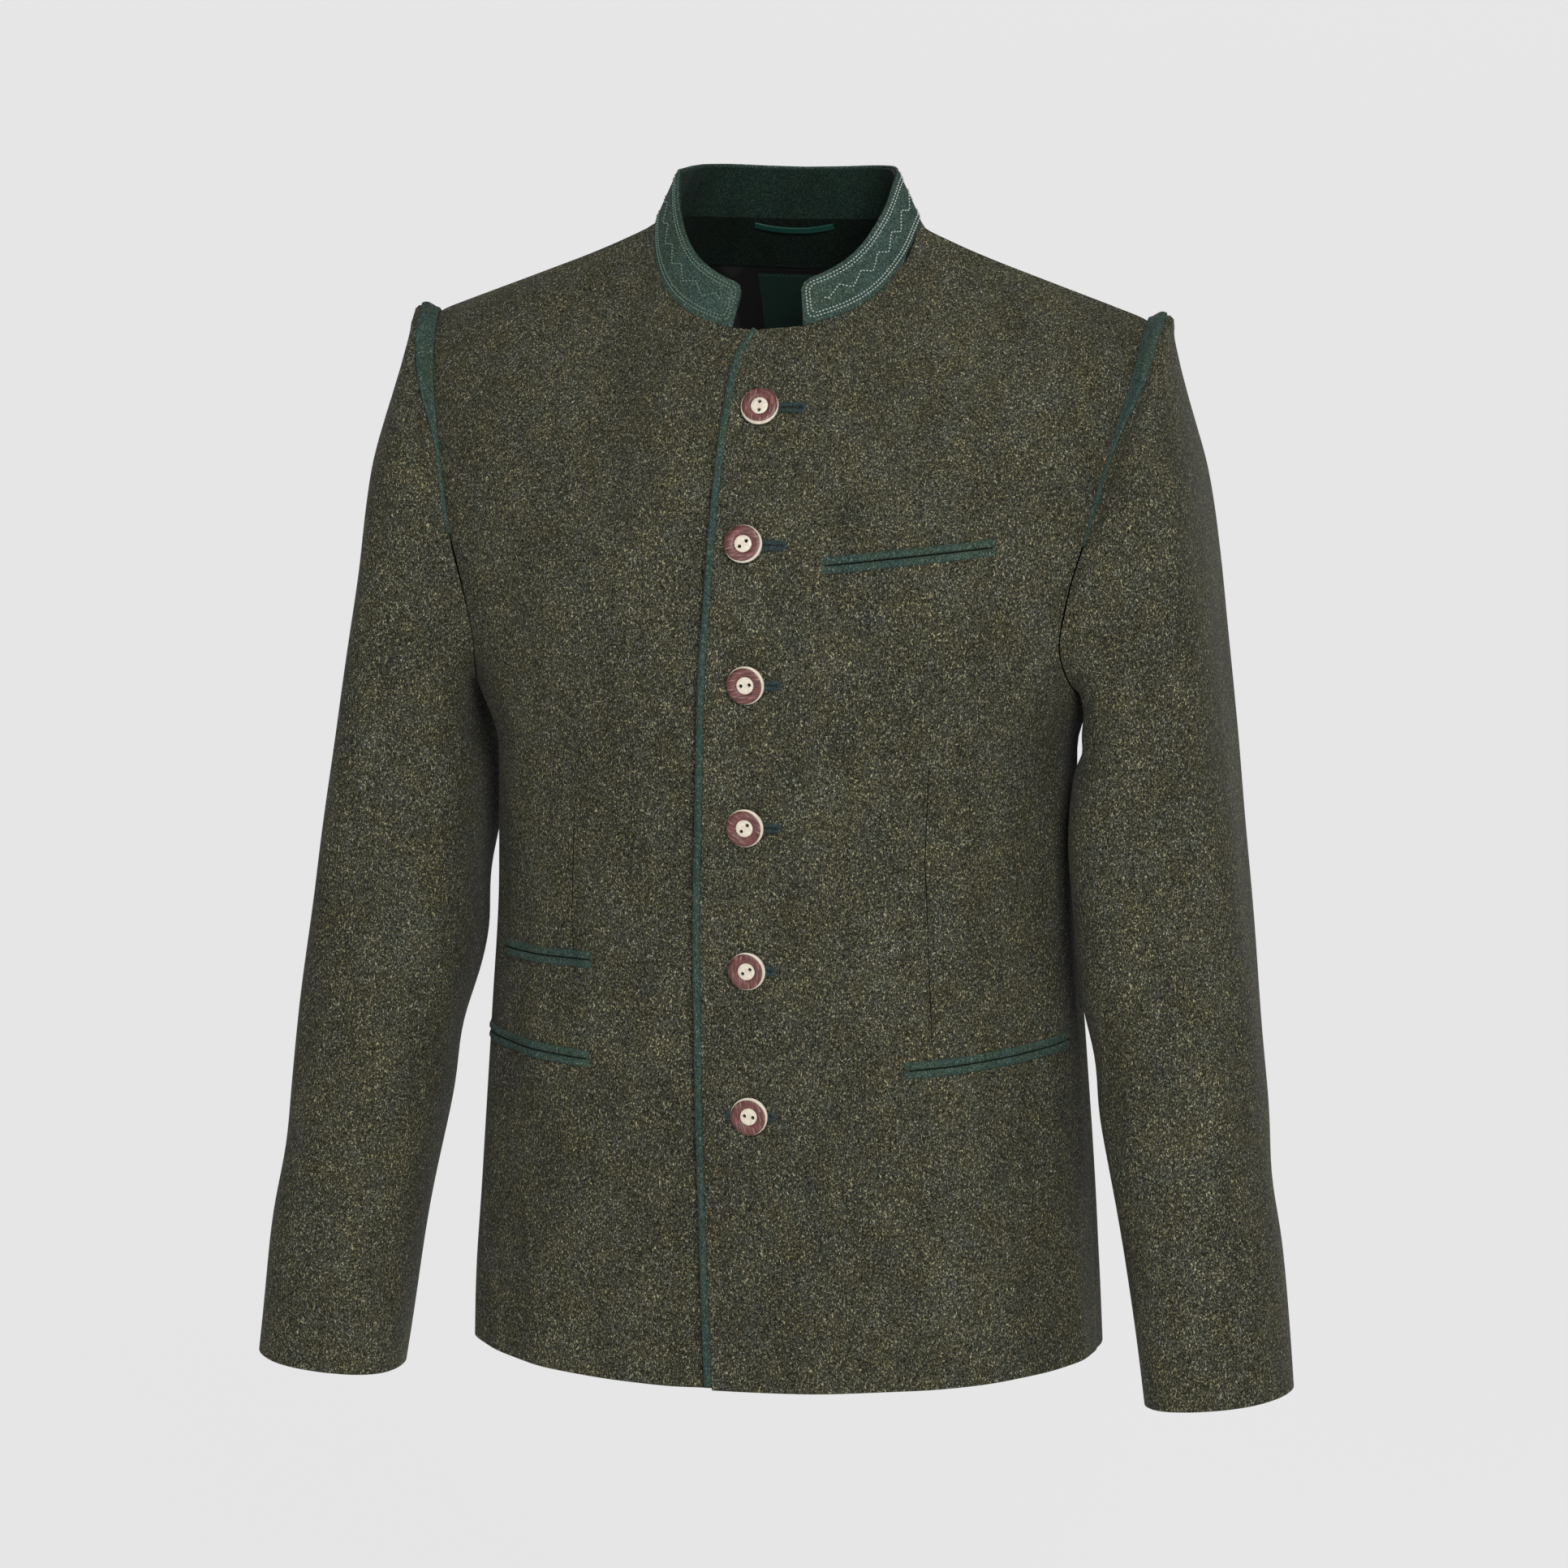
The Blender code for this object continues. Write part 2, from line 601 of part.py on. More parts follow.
def armhole_piping(side, grid, normal, finish):
    """A leaf of green felt over the armhole seam: widest at the shoulder, down to nothing in front and behind."""
    count = 19
    columns = np.linspace(-PIPING_REACH, PIPING_REACH, count)
    width = 0.0012 + (LEAF_WIDTH - 0.0012) * np.sin(np.pi * np.linspace(0, 1, count)) ** 0.8
    steps = np.linspace(0, 1, 4)
    spots = np.empty((len(steps), count, 3))
    lifts = np.empty_like(spots)
    for i, column in enumerate(columns):
        low = math.floor(column)
        part = column - low
        pair = [low % SLEEVE_COLUMNS, (low + 1) % SLEEVE_COLUMNS]
        line = grid[:5, pair[0]] * (1 - part) + grid[:5, pair[1]] * part
        lift = normal[:5, pair[0]] * (1 - part) + normal[:5, pair[1]] * part
        lengths = np.concatenate([[0], np.cumsum(np.linalg.norm(np.diff(line, axis=0), axis=1))])
        wanted = 0.0006 + width[i] * steps
        for k in range(3):
            spots[:, i, k] = np.interp(wanted, lengths, line[:, k])
            lifts[:, i, k] = np.interp(wanted, lengths, lift[:, k])
    lifts = lifts / np.linalg.norm(lifts, axis=-1, keepdims=True)
    crown = 0.0013 + 0.0007 * np.sin(np.pi * steps)[:, None, None]
    mirror = np.array([side, 1, 1])
    under = (spots + lifts * PIPING_LIFT) * mirror
    over = (spots + lifts * (PIPING_LIFT + crown)) * mirror
    wall("armhole_piping_" + ("left" if side > 0 else "right"), over, under, finish)


def cut_at(line, least):
    """The part of a line from the neck's front whose distance from the centre is at least this."""
    after = int(np.argmax(line[:, 0] > least))
    before, first = line[after - 1], line[after]
    start = before + (first - before) * (least - before[0]) / (first[0] - before[0])
    return np.vstack([start, line[after:]])


def neckline(count):
    """The panels' own points along the neckline, from the right collar end round the back to the left one."""
    mirror = np.array([-1, 1, 1])
    last = round(FRONT_COLUMNS * NECK_SHARE) + 1
    left = cut_at(front_grid(1)[0][0, :last], COLLAR_END[1])
    right = cut_at(front_grid(-1)[0][0, :last], -COLLAR_END[-1]) * mirror
    middle = BACK_COLUMNS // 2
    reach = round(middle * NECK_SHARE)
    behind = back_grid()[0][0, middle - reach + 1 : middle + reach]
    return along_line(np.vstack([right, behind, left[::-1]]), count)


def collar_grids(count, rows):
    """The stand collar's outer face: its lower edge on the neckline, its top drawn in towards the neck."""
    base = neckline(count)
    ends = np.abs(np.linspace(-1, 1, count))
    height = 0.034 - 0.005 * smooth_step((ends - 0.5) / 0.5)
    inward = -base[:, :2] / np.linalg.norm(base[:, :2], axis=1, keepdims=True)
    lean_amount = 0.43 + 0.12 * smooth_step((ends - 0.55) / 0.45)
    way = np.column_stack([inward * np.sin(lean_amount)[:, None], np.cos(lean_amount)])
    steps = np.linspace(0, 1, rows + 1)
    grid = base[None] + way[None] * (height[None, :] * steps[:, None])[..., None]
    grid = grid + np.array([0, 0, COLLAR_RISE])
    rounding = 0.009
    from_end = np.linalg.norm(base - base[0], axis=1)
    from_end = np.minimum(from_end, np.linalg.norm(base - base[-1], axis=1))
    drop = rounding * (1 - np.sqrt(1 - np.clip(1 - from_end / rounding, 0, 1) ** 2)) * 0.6
    grid = grid - way[None] * (drop[None, :] * steps[:, None])[..., None]
    return grid[::-1]


def collar(outer_finish, inner_finish):
    grid = collar_grids(41, 3)
    normal = normals_of(grid)
    middle = grid.shape[1] // 2
    normal = normal * np.sign(normal[1, middle, 1])
    wall("collar", grid, grid - normal * FELT, outer_finish)
    inner_face = drawn_in(grid, ("top", "bottom"), 0.0008) - normal * (FELT + SEAM)
    wall("collar_inner", inner_face, inner_face - normal * FELT, inner_finish)


def stations(first, last):
    """Both ends and every whole number between them."""
    return np.array([first, *range(math.floor(first) + 1, math.ceil(last)), last], float)


def between(values, rows, columns):
    """A grid's values at rows and columns that may lie between its own."""
    low = np.clip(np.floor(rows).astype(int), 0, len(values) - 2)
    left = np.clip(np.floor(columns).astype(int), 0, values.shape[1] - 2)
    down = (rows - low)[..., None]
    over = (columns - left)[..., None]
    above = values[low, left] * (1 - over) + values[low, left + 1] * over
    below = values[low + 1, left] * (1 - over) + values[low + 1, left + 1] * over
    return above * (1 - down) + below * down


def inside_back(name, row_span, column_span, depth, thickness, finish):
    """A piece that lies on the back's inner side, made from the back's own points."""
    grid, normal = back_grid()
    columns, rows = np.meshgrid(stations(*column_span), stations(*row_span))
    inward = -between(normal, rows, columns)
    face = between(grid, rows, columns) + inward * (CLOTH + depth)
    return wall(name, face, face + inward * thickness, finish)


def edge_piping(finish):
    """Felt piping down the left front's edge, from the neckline to the hem."""
    heights = np.concatenate([np.linspace(-0.0612, -0.10, 6), np.linspace(-0.10, HEM_CENTRE + 0.002, 25)[1:]])
    places = left_edge(heights) + PIPING_WIDTH / 2
    spot, normal = front_surface(places, heights, 1)
    ribbon("edge_piping", spot - normal * CLOTH, normal, PIPING_WIDTH / 2, 0, CLOTH + 0.0004, finish)


def welt_pocket(name, row, finish):
    """Two welts, one above the other, with a narrow slit between them."""
    side, near_x, near_z, far_x, far_z = row
    z = np.linspace(near_z, far_z, 11)
    angle = np.linspace(angle_at(near_x, near_z), angle_at(far_x, far_z), 11)
    x = torso_point(angle, z)[:, 0]
    for part, up in (("upper", 1), ("lower", -1)):
        spot, normal = front_surface(x, z + up * (WELT + WELT_SLIT) / 2, side)
        mirror = np.array([side, 1, 1])
        ribbon(f"{name}_{part}_welt", spot * mirror, normal * mirror, WELT / 2, 2 * SEAM, WELT_HEIGHT, finish)


def buttonhole(number, row, finish):
    """A corded buttonhole: a low bar of close stitching that runs out from under the button."""
    middle, height, _, reach = row
    steps = np.linspace(0, 1, 7)
    x = middle + reach - BUTTONHOLE_LENGTH * (1 - steps)
    spot, normal = front_surface(x, np.full(7, height), 1)
    half = BUTTONHOLE_HALF * np.sqrt(np.clip(1 - (2 * steps - 1) ** 6, 0.12, 1))
    ribbon(f"buttonhole_{number}", spot, normal, half, SEAM, BUTTONHOLE_HEIGHT, finish)


def button_mesh():
    """A turned disc with a sunk middle and two holes."""
    profile = (
        (0.0000, 0.0030),
        (0.0052, 0.0030),
        (0.0060, 0.0037),
        (0.0098, 0.0036),
        (0.0110, 0.0027),
        (BUTTON_RADIUS, 0.0016),
        (0.0106, 0.0000),
        (0.0000, 0.0000),
    )
    work = bmesh.new()
    points = [work.verts.new((r, 0, z)) for r, z in profile]
    edges = [work.edges.new(pair) for pair in zip(points, points[1:])]
    bmesh.ops.spin(
        work, geom=points + edges, axis=(0, 0, 1), cent=(0, 0, 0), steps=18, angle=math.tau, use_merge=True
    )
    bmesh.ops.remove_doubles(work, verts=work.verts, dist=1e-6)
    bmesh.ops.recalc_face_normals(work, faces=work.faces)
    mesh = bpy.data.meshes.new("button")
    work.to_mesh(mesh)
    work.free()
    blank = bpy.data.objects.new("button_blank", mesh)
    bpy.context.scene.collection.objects.link(blank)
    cutter = bpy.data.meshes.new("button_holes")
    work = bmesh.new()
    for side in (-1, 1):
        made = bmesh.ops.create_cone(
            work, cap_ends=True, segments=6, radius1=HOLE_RADIUS, radius2=HOLE_RADIUS, depth=0.012
        )
        bmesh.ops.translate(work, verts=made["verts"], vec=(side * HOLE_SPACING / 2, 0, 0.0015))
    work.to_mesh(cutter)
    work.free()
    drill = bpy.data.objects.new("button_drill", cutter)
    drill.hide_render = True
    drill.display_type = "WIRE"
    bpy.context.scene.collection.objects.link(drill)
    cut = blank.modifiers.new("holes", "BOOLEAN")
    cut.operation = "DIFFERENCE"
    cut.object = drill
    graph = bpy.context.evaluated_depsgraph_get()
    drilled = bpy.data.meshes.new_from_object(blank.evaluated_get(graph))
    bpy.data.objects.remove(blank)
    bpy.data.objects.remove(drill)
    drilled.shade_smooth()
    drilled.set_sharp_from_angle(angle=math.radians(30))
    return drilled


def buttons(finish):
    mesh = button_mesh()
    mesh.materials.append(finish)
    for number, (x, height, turn, _) in enumerate(BUTTONS, 1):
        spot, normal = front_surface(np.array([x]), np.array([height]), 1)
        made = bpy.data.objects.new(f"button_{number}", mesh)
        bpy.context.scene.collection.objects.link(made)
        up = normal[0]
        beside = x + np.linspace(-BUTTON_RADIUS, BUTTON_RADIUS, 9)
        line = front_surface(beside, np.full(9, height), 1)[0]
        right = np.cross((0, 0, 1), up)
        right = right / np.linalg.norm(right)
        above = np.cross(up, right)
        angle = math.radians(turn)
        first = right * math.cos(angle) + above * math.sin(angle)
        second = np.cross(up, first)
        lift = BUTTONHOLE_HEIGHT + 2 * SEAM + max((line - spot) @ up)
        place = spot[0] + up * lift
        made.matrix_world = Matrix([(first[k], second[k], up[k], place[k]) for k in range(3)] + [(0, 0, 0, 1)])


def hanger_loop(finish):
    """A short satin loop on the neck facing, held at both ends and a little slack between them."""
    grid, normal = back_grid()
    steps = np.linspace(-1, 1, 11)
    slack = 1 - steps * steps
    columns = BACK_COLUMNS // 2 - 0.5 + 1.3 * steps
    rows = 0.24 + 0.10 * slack
    inward = -between(normal, rows, columns)
    inward = inward / np.linalg.norm(inward, axis=1, keepdims=True)
    off = CLOTH + FACING_DEPTH + LINING + 2 * SEAM + 0.0012 * slack
    centre = between(grid, rows, columns) + inward * off[:, None]
    ribbon("hanger_loop", centre, inward, 0.0020, 0, 0.0009, finish, round_sides=False)


def main():
    for old in list(bpy.data.objects):
        bpy.data.objects.remove(old)
    loden = material("loden", (0.046, 0.048, 0.032), 0.95)
    felt = material("felt", (0.030, 0.072, 0.062), 0.95)
    satin = material("lining_satin", (0.012, 0.012, 0.014), 0.45)
    woven = material("woven_label", (0.008, 0.040, 0.030), 0.60)
    ribbon_satin = material("loop_satin", (0.010, 0.110, 0.095), 0.40)
    horn = material("button_horn", (0.300, 0.120, 0.100), 0.50)

    front_panel(1, loden)
    front_panel(-1, loden)
    outer, normal = back_grid()
    wall("back", outer, outer - normal * CLOTH, loden)
    for side in (1, -1):
        grid, normal = sleeve(side, loden)
        armhole_piping(side, grid, normal, felt)
    collar(felt, felt)
    middle = BACK_COLUMNS // 2
    inside_back("neck_facing", (0.1, 0.99), (middle - 3, middle + 3), FACING_DEPTH, LINING, felt)
    inside_back("back_lining", (1, 9), (1, BACK_COLUMNS - 1), SEAM, LINING, satin)
    label_depth = SEAM + LINING + SEAM
    inside_back("neck_label", (1.2, 2.7), (middle - 2.0, middle + 1.0), label_depth, 0.0005, woven)
    hanger_loop(ribbon_satin)
    edge_piping(felt)
    for name, row in POCKETS.items():
        welt_pocket(name, row, felt)
    for number, row in enumerate(BUTTONS, 1):
        buttonhole(number, row, felt)
    buttons(horn)


main()
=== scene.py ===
"""Trachten jacket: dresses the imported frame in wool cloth, felt trim, stitching, lining and horn buttons.

Metres, +Z up, front towards -Y, the wearer's left at +X. The cloth shells follow the same tables and forms as
the solids, on finer grids, with soft creases, seam valleys and rounded edges added.
"""
import math

import bpy
import numpy as np
from mathutils import Matrix, Vector


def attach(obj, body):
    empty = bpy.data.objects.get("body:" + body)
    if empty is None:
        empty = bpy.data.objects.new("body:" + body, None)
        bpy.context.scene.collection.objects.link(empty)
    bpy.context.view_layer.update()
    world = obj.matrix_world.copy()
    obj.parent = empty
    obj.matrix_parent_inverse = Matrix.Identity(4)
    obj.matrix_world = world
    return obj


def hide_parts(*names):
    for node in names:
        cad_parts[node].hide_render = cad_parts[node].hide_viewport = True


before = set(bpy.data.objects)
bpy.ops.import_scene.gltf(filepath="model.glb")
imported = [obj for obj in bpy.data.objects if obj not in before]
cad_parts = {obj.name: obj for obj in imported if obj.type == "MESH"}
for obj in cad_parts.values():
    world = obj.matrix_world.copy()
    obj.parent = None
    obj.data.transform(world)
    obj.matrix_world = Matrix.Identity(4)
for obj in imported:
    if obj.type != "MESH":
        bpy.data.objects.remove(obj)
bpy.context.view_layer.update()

CLOTH = 0.0020
SEAM = 0.0003
FELT = 0.0015
LINING = 0.0008

ROUNDNESS = 2.4
NECK_HALF = 0.083
SHOULDER_TIP = (0.222, 0.008, -0.056)
ARMHOLE_BOTTOM = -0.285
ARMHOLE_MIDDLE = (0.200, 0.000, -0.170)
HEM_CENTRE = -0.702
HEM_SIDE = -0.690
LAP_LIFT = 0.0033
LAP_FULL = 0.034
LAP_END = 0.075
UNDERLAP = 0.028
PIPING_WIDTH = 0.0045
PIPING_REACH = 18.4
PIPING_LIFT = 0.0007
LEAF_WIDTH = 0.0105
COLLAR_RISE = 0.0011
COLLAR_END = {1: 0.025, -1: -0.020}
BUTTON_RADIUS = 0.0115
HOLE_RADIUS = 0.00115
HOLE_SPACING = 0.0052
BUTTONHOLE_LENGTH = 0.029
BUTTONHOLE_HEIGHT = 0.0009

PANEL_ROWS = 96
FRONT_COLUMNS = 64
BACK_COLUMNS = 80
NECK_SHARE = 0.42
ARMHOLE_SHARE = 0.42
DEGREE_LENGTH = 0.0028
SLEEVE_ROWS = 100
SLEEVE_COLUMNS = 80
TOP_SLEEVE = (-24, 28)

# height, half width, front depth, back depth of the torso
TORSO = (
    (-0.720, 0.1970, 0.112, 0.125),
    (-0.600, 0.1915, 0.113, 0.118),
    (-0.500, 0.1850, 0.115, 0.106),
    (-0.400, 0.1785, 0.121, 0.098),
    (-0.320, 0.1785, 0.125, 0.108),
    (-0.285, 0.1900, 0.126, 0.113),
    (-0.240, 0.2110, 0.126, 0.116),
    (-0.200, 0.2220, 0.126, 0.118),
    (-0.150, 0.2270, 0.126, 0.118),
    (-0.060, 0.2300, 0.126, 0.117),
    (0.050, 0.2300, 0.126, 0.116),
)
# distance from the centre, height of the shoulder ridge and of its run across the neck hole
RIDGE = (
    (0.000, 0.040),
    (0.030, 0.037),
    (0.055, 0.028),
    (0.072, 0.013),
    (0.083, 0.000),
    (0.100, -0.0088),
    (0.125, -0.0195),
    (0.150, -0.0290),
    (0.222, -0.0560),
    (0.232, -0.0600),
)
# distance from the centre, length of the fall from the ridge, fullness: in front, then behind
FRONT_FALL = (
    (0.000, 0.25, 1.30),
    (0.038, 0.23, 1.22),
    (0.070, 0.21, 1.18),
    (0.100, 0.20, 1.20),
    (0.150, 0.18, 1.40),
    (0.232, 0.13, 1.75),
)
BACK_FALL = (
    (0.000, 0.24, 2.10),
    (0.055, 0.24, 2.15),
    (0.083, 0.22, 2.00),
    (0.150, 0.18, 1.70),
    (0.232, 0.14, 1.80),
)
# distance from the centre, height along the neckline's front half
FRONT_NECK = (
    (0.000, -0.061),
    (0.023, -0.059),
    (0.038, -0.055),
    (0.0555, -0.047),
    (0.069, -0.035),
    (0.079, -0.017),
    (0.083, 0.000),
)
BACK_NECK = (
    (0.000, 0.0000),
    (0.030, 0.0005),
    (0.055, 0.0015),
    (0.074, 0.0020),
    (0.083, 0.0000),
)
# distance from the centre, height along the armhole, shoulder tip first
FRONT_ARMHOLE = (
    (0.222, -0.056),
    (0.218, -0.088),
    (0.208, -0.133),
    (0.197, -0.181),
    (0.1865, -0.220),
    (0.1815, -0.250),
    (0.1845, -0.272),
    (0.1900, -0.285),
)
BACK_ARMHOLE = (
    (0.222, -0.056),
    (0.2165, -0.092),
    (0.2080, -0.140),
    (0.2000, -0.190),
    (0.1945, -0.235),
    (0.1910, -0.265),
    (0.1900, -0.285),
)
# height, place of the lapped front's edge
FRONT_EDGE = (
    (-0.720, -0.0270),
    (-0.600, -0.0310),
    (-0.500, -0.0330),
    (-0.440, -0.0330),
    (-0.330, -0.0300),
    (-0.265, -0.0280),
    (-0.210, -0.0240),
    (-0.130, -0.0210),
    (-0.090, -0.0180),
    (-0.073, -0.0140),
    (-0.061, -0.0060),
)
# way down the sleeve, outer side x and z, inner side x and z, middle y, half depth, roundness
SLEEVE = (
    (0.00, 0.2220, -0.056, 0.1905, -0.285, -0.002, 0.078, 2.6),
    (0.03, 0.2330, -0.059, 0.1915, -0.287, -0.002, 0.080, 2.6),
    (0.07, 0.2395, -0.074, 0.1920, -0.290, -0.001, 0.081, 2.7),
    (0.13, 0.2450, -0.104, 0.1915, -0.296, 0.002, 0.081, 2.8),
    (0.21, 0.2555, -0.150, 0.1900, -0.303, 0.005, 0.080, 3.0),
    (0.29, 0.2625, -0.200, 0.1885, -0.315, 0.005, 0.078, 3.2),
    (0.44, 0.2755, -0.300, 0.1860, -0.352, -0.007, 0.073, 3.2),
    (0.60, 0.2900, -0.410, 0.1880, -0.430, -0.022, 0.066, 2.8),
    (0.74, 0.3025, -0.510, 0.2030, -0.520, -0.038, 0.060, 2.5),
    (0.87, 0.3150, -0.610, 0.2210, -0.616, -0.046, 0.055, 2.3),
    (1.00, 0.3235, -0.699, 0.2340, -0.709, -0.053, 0.050, 2.2),
)
# way down the sleeve, angle round it, depth, half length down, half width in degrees: soft folds
SLEEVE_FOLDS = (
    (0.36, 235, 0.0030, 0.10, 26),
    (0.56, 160, 0.0035, 0.05, 50),
    (0.64, 215, 0.0035, 0.06, 42),
    (0.71, 190, 0.0040, 0.04, 60),
    (0.78, 330, 0.0025, 0.09, 24),
    (0.82, 20, 0.0030, 0.04, 60),
    (0.90, 285, 0.0020, 0.08, 22),
)
# height, angle round the torso, depth, half height, half width in degrees: soft folds of the body
BODY_FOLDS = (
    (-0.46, 58, 0.0025, 0.12, 12),
    (-0.62, 40, -0.0025, 0.12, 12),
    (-0.24, 44, 0.0020, 0.08, 10),
)
# side, upper inner corner's distance and height, outer end's distance and height, of each welt pocket
POCKETS = {
    "chest_pocket": (1, 0.047, -0.1965, 0.147, -0.186),
    "hip_pocket_left": (1, 0.094, -0.503, 0.1815, -0.492),
    "ticket_pocket": (-1, 0.099, -0.4415, 0.167, -0.4425),
    "hip_pocket_right": (-1, 0.101, -0.503, 0.1815, -0.4975),
}
WELT = 0.0048
WELT_SLIT = 0.0007
# distance from the centre, height, turn of the two holes in degrees, reach of the buttonhole past the middle
BUTTONS = (
    (0.0037, -0.1066, 90, 0.0270),
    (-0.0005, -0.1860, 40, 0.0260),
    (0.0020, -0.2686, 8, 0.0205),
    (0.0010, -0.3546, 45, 0.0205),
    (0.0010, -0.4420, 30, 0.0165),
    (0.0015, -0.5315, -10, 0.0150),
)
# height, angle round the front (left side positive), depth, half height, half width, slant in degrees a metre
FRONT_CREASES = (
    (-0.150, 36, 0.0016, 0.050, 5, 60),
    (-0.215, 58, 0.0022, 0.060, 6, -70),
    (-0.300, 40, 0.0012, 0.080, 7, 20),
    (-0.400, 64, 0.0020, 0.090, 6, 30),
    (-0.470, 30, -0.0014, 0.110, 8, -20),
    (-0.560, 50, 0.0018, 0.090, 7, 15),
    (-0.620, 22, 0.0012, 0.070, 6, -10),
    (-0.650, 74, -0.0020, 0.060, 8, 20),
    (-0.140, -34, 0.0015, 0.045, 5, -50),
    (-0.230, -60, 0.0024, 0.065, 6, 80),
    (-0.330, -38, 0.0013, 0.090, 7, -20),
    (-0.410, -68, 0.0018, 0.080, 6, -35),
    (-0.500, -26, -0.0012, 0.100, 8, 15),
    (-0.585, -54, 0.0020, 0.080, 7, -20),
    (-0.640, -36, 0.0013, 0.060, 6, 12),
    (-0.655, -76, -0.0018, 0.055, 8, -20),
)
BACK_CREASES = (
    (-0.170, 52, 0.0024, 0.060, 6, -60),
    (-0.260, 64, 0.0022, 0.060, 6, 50),
    (-0.380, 30, 0.0018, 0.100, 7, 25),
    (-0.470, 56, 0.0024, 0.090, 7, -20),
    (-0.590, 34, -0.0018, 0.090, 9, 15),
    (-0.640, 66, 0.0020, 0.060, 7, 20),
    (-0.180, -50, 0.0020, 0.060, 6, 60),
    (-0.270, -66, 0.0024, 0.070, 6, -50),
    (-0.400, -34, 0.0015, 0.110, 7, -25),
    (-0.460, -60, 0.0022, 0.080, 7, 20),
    (-0.600, -28, -0.0016, 0.080, 9, -15),
    (-0.645, -62, 0.0018, 0.060, 7, -20),
)
# way down, angle round the sleeve (0 outside, 90 behind), depth, half length, half width, slant in degrees
SLEEVE_CREASES = {
    1: (
        (0.14, 250, 0.0020, 0.06, 9, 60),
        (0.22, 300, 0.0018, 0.07, 10, -50),
        (0.30, 200, 0.0030, 0.05, 14, 160),
        (0.48, 250, 0.0022, 0.05, 16, -260),
        (0.57, 290, 0.0026, 0.09, 9, 40),
        (0.62, 262, 0.0024, 0.08, 8, -30),
        (0.66, 318, 0.0022, 0.10, 9, 50),
        (0.72, 235, 0.0026, 0.05, 14, -220),
        (0.83, 278, 0.0018, 0.08, 8, 30),
        (0.56, 100, 0.0028, 0.05, 16, 200),
        (0.66, 70, 0.0024, 0.05, 16, -180),
        (0.84, 110, 0.0018, 0.07, 10, 40),
        (0.20, 110, 0.0020, 0.08, 12, 70),
    ),
    -1: (
        (0.13, 248, 0.0022, 0.06, 9, -50),
        (0.24, 296, 0.0016, 0.08, 10, 40),
        (0.31, 196, 0.0030, 0.05, 14, -160),
        (0.46, 255, 0.0024, 0.05, 16, 240),
        (0.55, 285, 0.0024, 0.08, 9, -40),
        (0.61, 300, 0.0020, 0.10, 8, 30),
        (0.69, 246, 0.0028, 0.05, 15, 220),
        (0.77, 310, 0.0020, 0.08, 9, -40),
        (0.86, 268, 0.0018, 0.06, 9, -20),
        (0.58, 96, 0.0028, 0.05, 16, -200),
        (0.68, 74, 0.0022, 0.05, 16, 170),
        (0.82, 104, 0.0018, 0.07, 10, -40),
        (0.22, 106, 0.0020, 0.08, 12, -60),
    ),
}
# height and distance from the centre along each dart, top first: the left front's, then the right front's
DARTS = {
    1: ((-0.291, 0.1106), (-0.374, 0.1065), (-0.488, 0.1098)),
    -1: ((-0.344, 0.1110), (-0.418, 0.1132), (-0.4515, 0.1117)),
}
DART_DEPTH = 0.0009
DART_HALF_WIDTH = 0.0065
SEAM_DROP = 0.0008
LAP_HOLLOW = 0.0030
LAP_HOLLOW_WIDTH = 0.026
# rings stand closer together near the armhole, and take their table's form from SLEEVE_JOIN on
SLEEVE_PITCH = 1.15
SLEEVE_JOIN = 0.20
CAP_FULLNESS = 0.012
HEAD_FULLNESS = 0.003
INNER_FULLNESS = {1: 0.0056, -1: 0.0006}
ARMHOLE_CLEARANCE = 0.0004
# the felt leaf over the armhole seam
LEAF_TIP = 0.0009
LEAF_CROWN = 0.0011
LEAF_TUCK = 0.0016
COLLAR_HEIGHT = 0.034
COLLAR_FALL = 0.005
COLLAR_LEAN = 0.43
COLLAR_FRONT_LEAN = 0.12
COLLAR_ROUNDING = 0.009
INNER_COLLAR_REACH = 0.0024
# stitching on the unrolled collar
SEWN_HEIGHT = 0.0300
SEWN_INSETS = (0.0030, 0.0052)
SEWN_CORNER = 0.0040
WAVE_PITCH = 0.017
WAVE_HALF_HEIGHT = 0.0032
WAVE_END = 0.012
# pitch, length and radius of the stitches
COLLAR_STITCH = (0.0022, 0.0013, 0.00042)
LABEL_STITCH = (0.0024, 0.0015, 0.00022)
# the inner side of the neck
FACING_GAP = 0.0021
LABEL = 0.0005
LOOP_HALF_WIDTH = 0.0022
LOOP_SLACK = 0.0016
PIPING_HALF_SHARE = 0.58
WELT_END = 0.0002
WELT_CROWN = 0.0016
WELT_TAPER = 0.007
# the buttonholes' cord: half the gap between its two runs, its half width, its height under the button
# and how much fuller it is beyond it, and its ribs round the loop
CORD_LOOP_HALF = 0.00165
CORD_HALF_WIDTH = 0.00145
CORD_LOW = 0.00042
CORD_FULLER = 0.00055
CORD_RIBS = 54
RING_OFFSET = 0.0008
# direction of the bark's streaks and of the wide side of the ivory edge, in degrees
BUTTON_LOOKS = ((90, 262), (12, 335), (9, 30), (-30, 20), (92, 12), (105, 50))
SIDE_NAME = {1: "left", -1: "right"}
# what shows of narrow trim is part of a wider cut
TRIM_CUT = 0.012
TRIM_SHARE = 0.31
# where a piece's four edges lie in its grid, and the rows or columns next to them
EDGES = {
    "top": ((0, slice(None)), (1, slice(None))),
    "bottom": ((-1, slice(None)), (-2, slice(None))),
    "first": ((slice(None), 0), (slice(None), 1)),
    "last": ((slice(None), -1), (slice(None), -2)),
}
# a long seam's share of the drop at its edge and beside it, on both sides of a piece
SIDE_SEAMS = [((slice(None), column), part) for column, part in ((0, 1.0), (1, 0.25), (-1, 1.0), (-2, 0.25))]
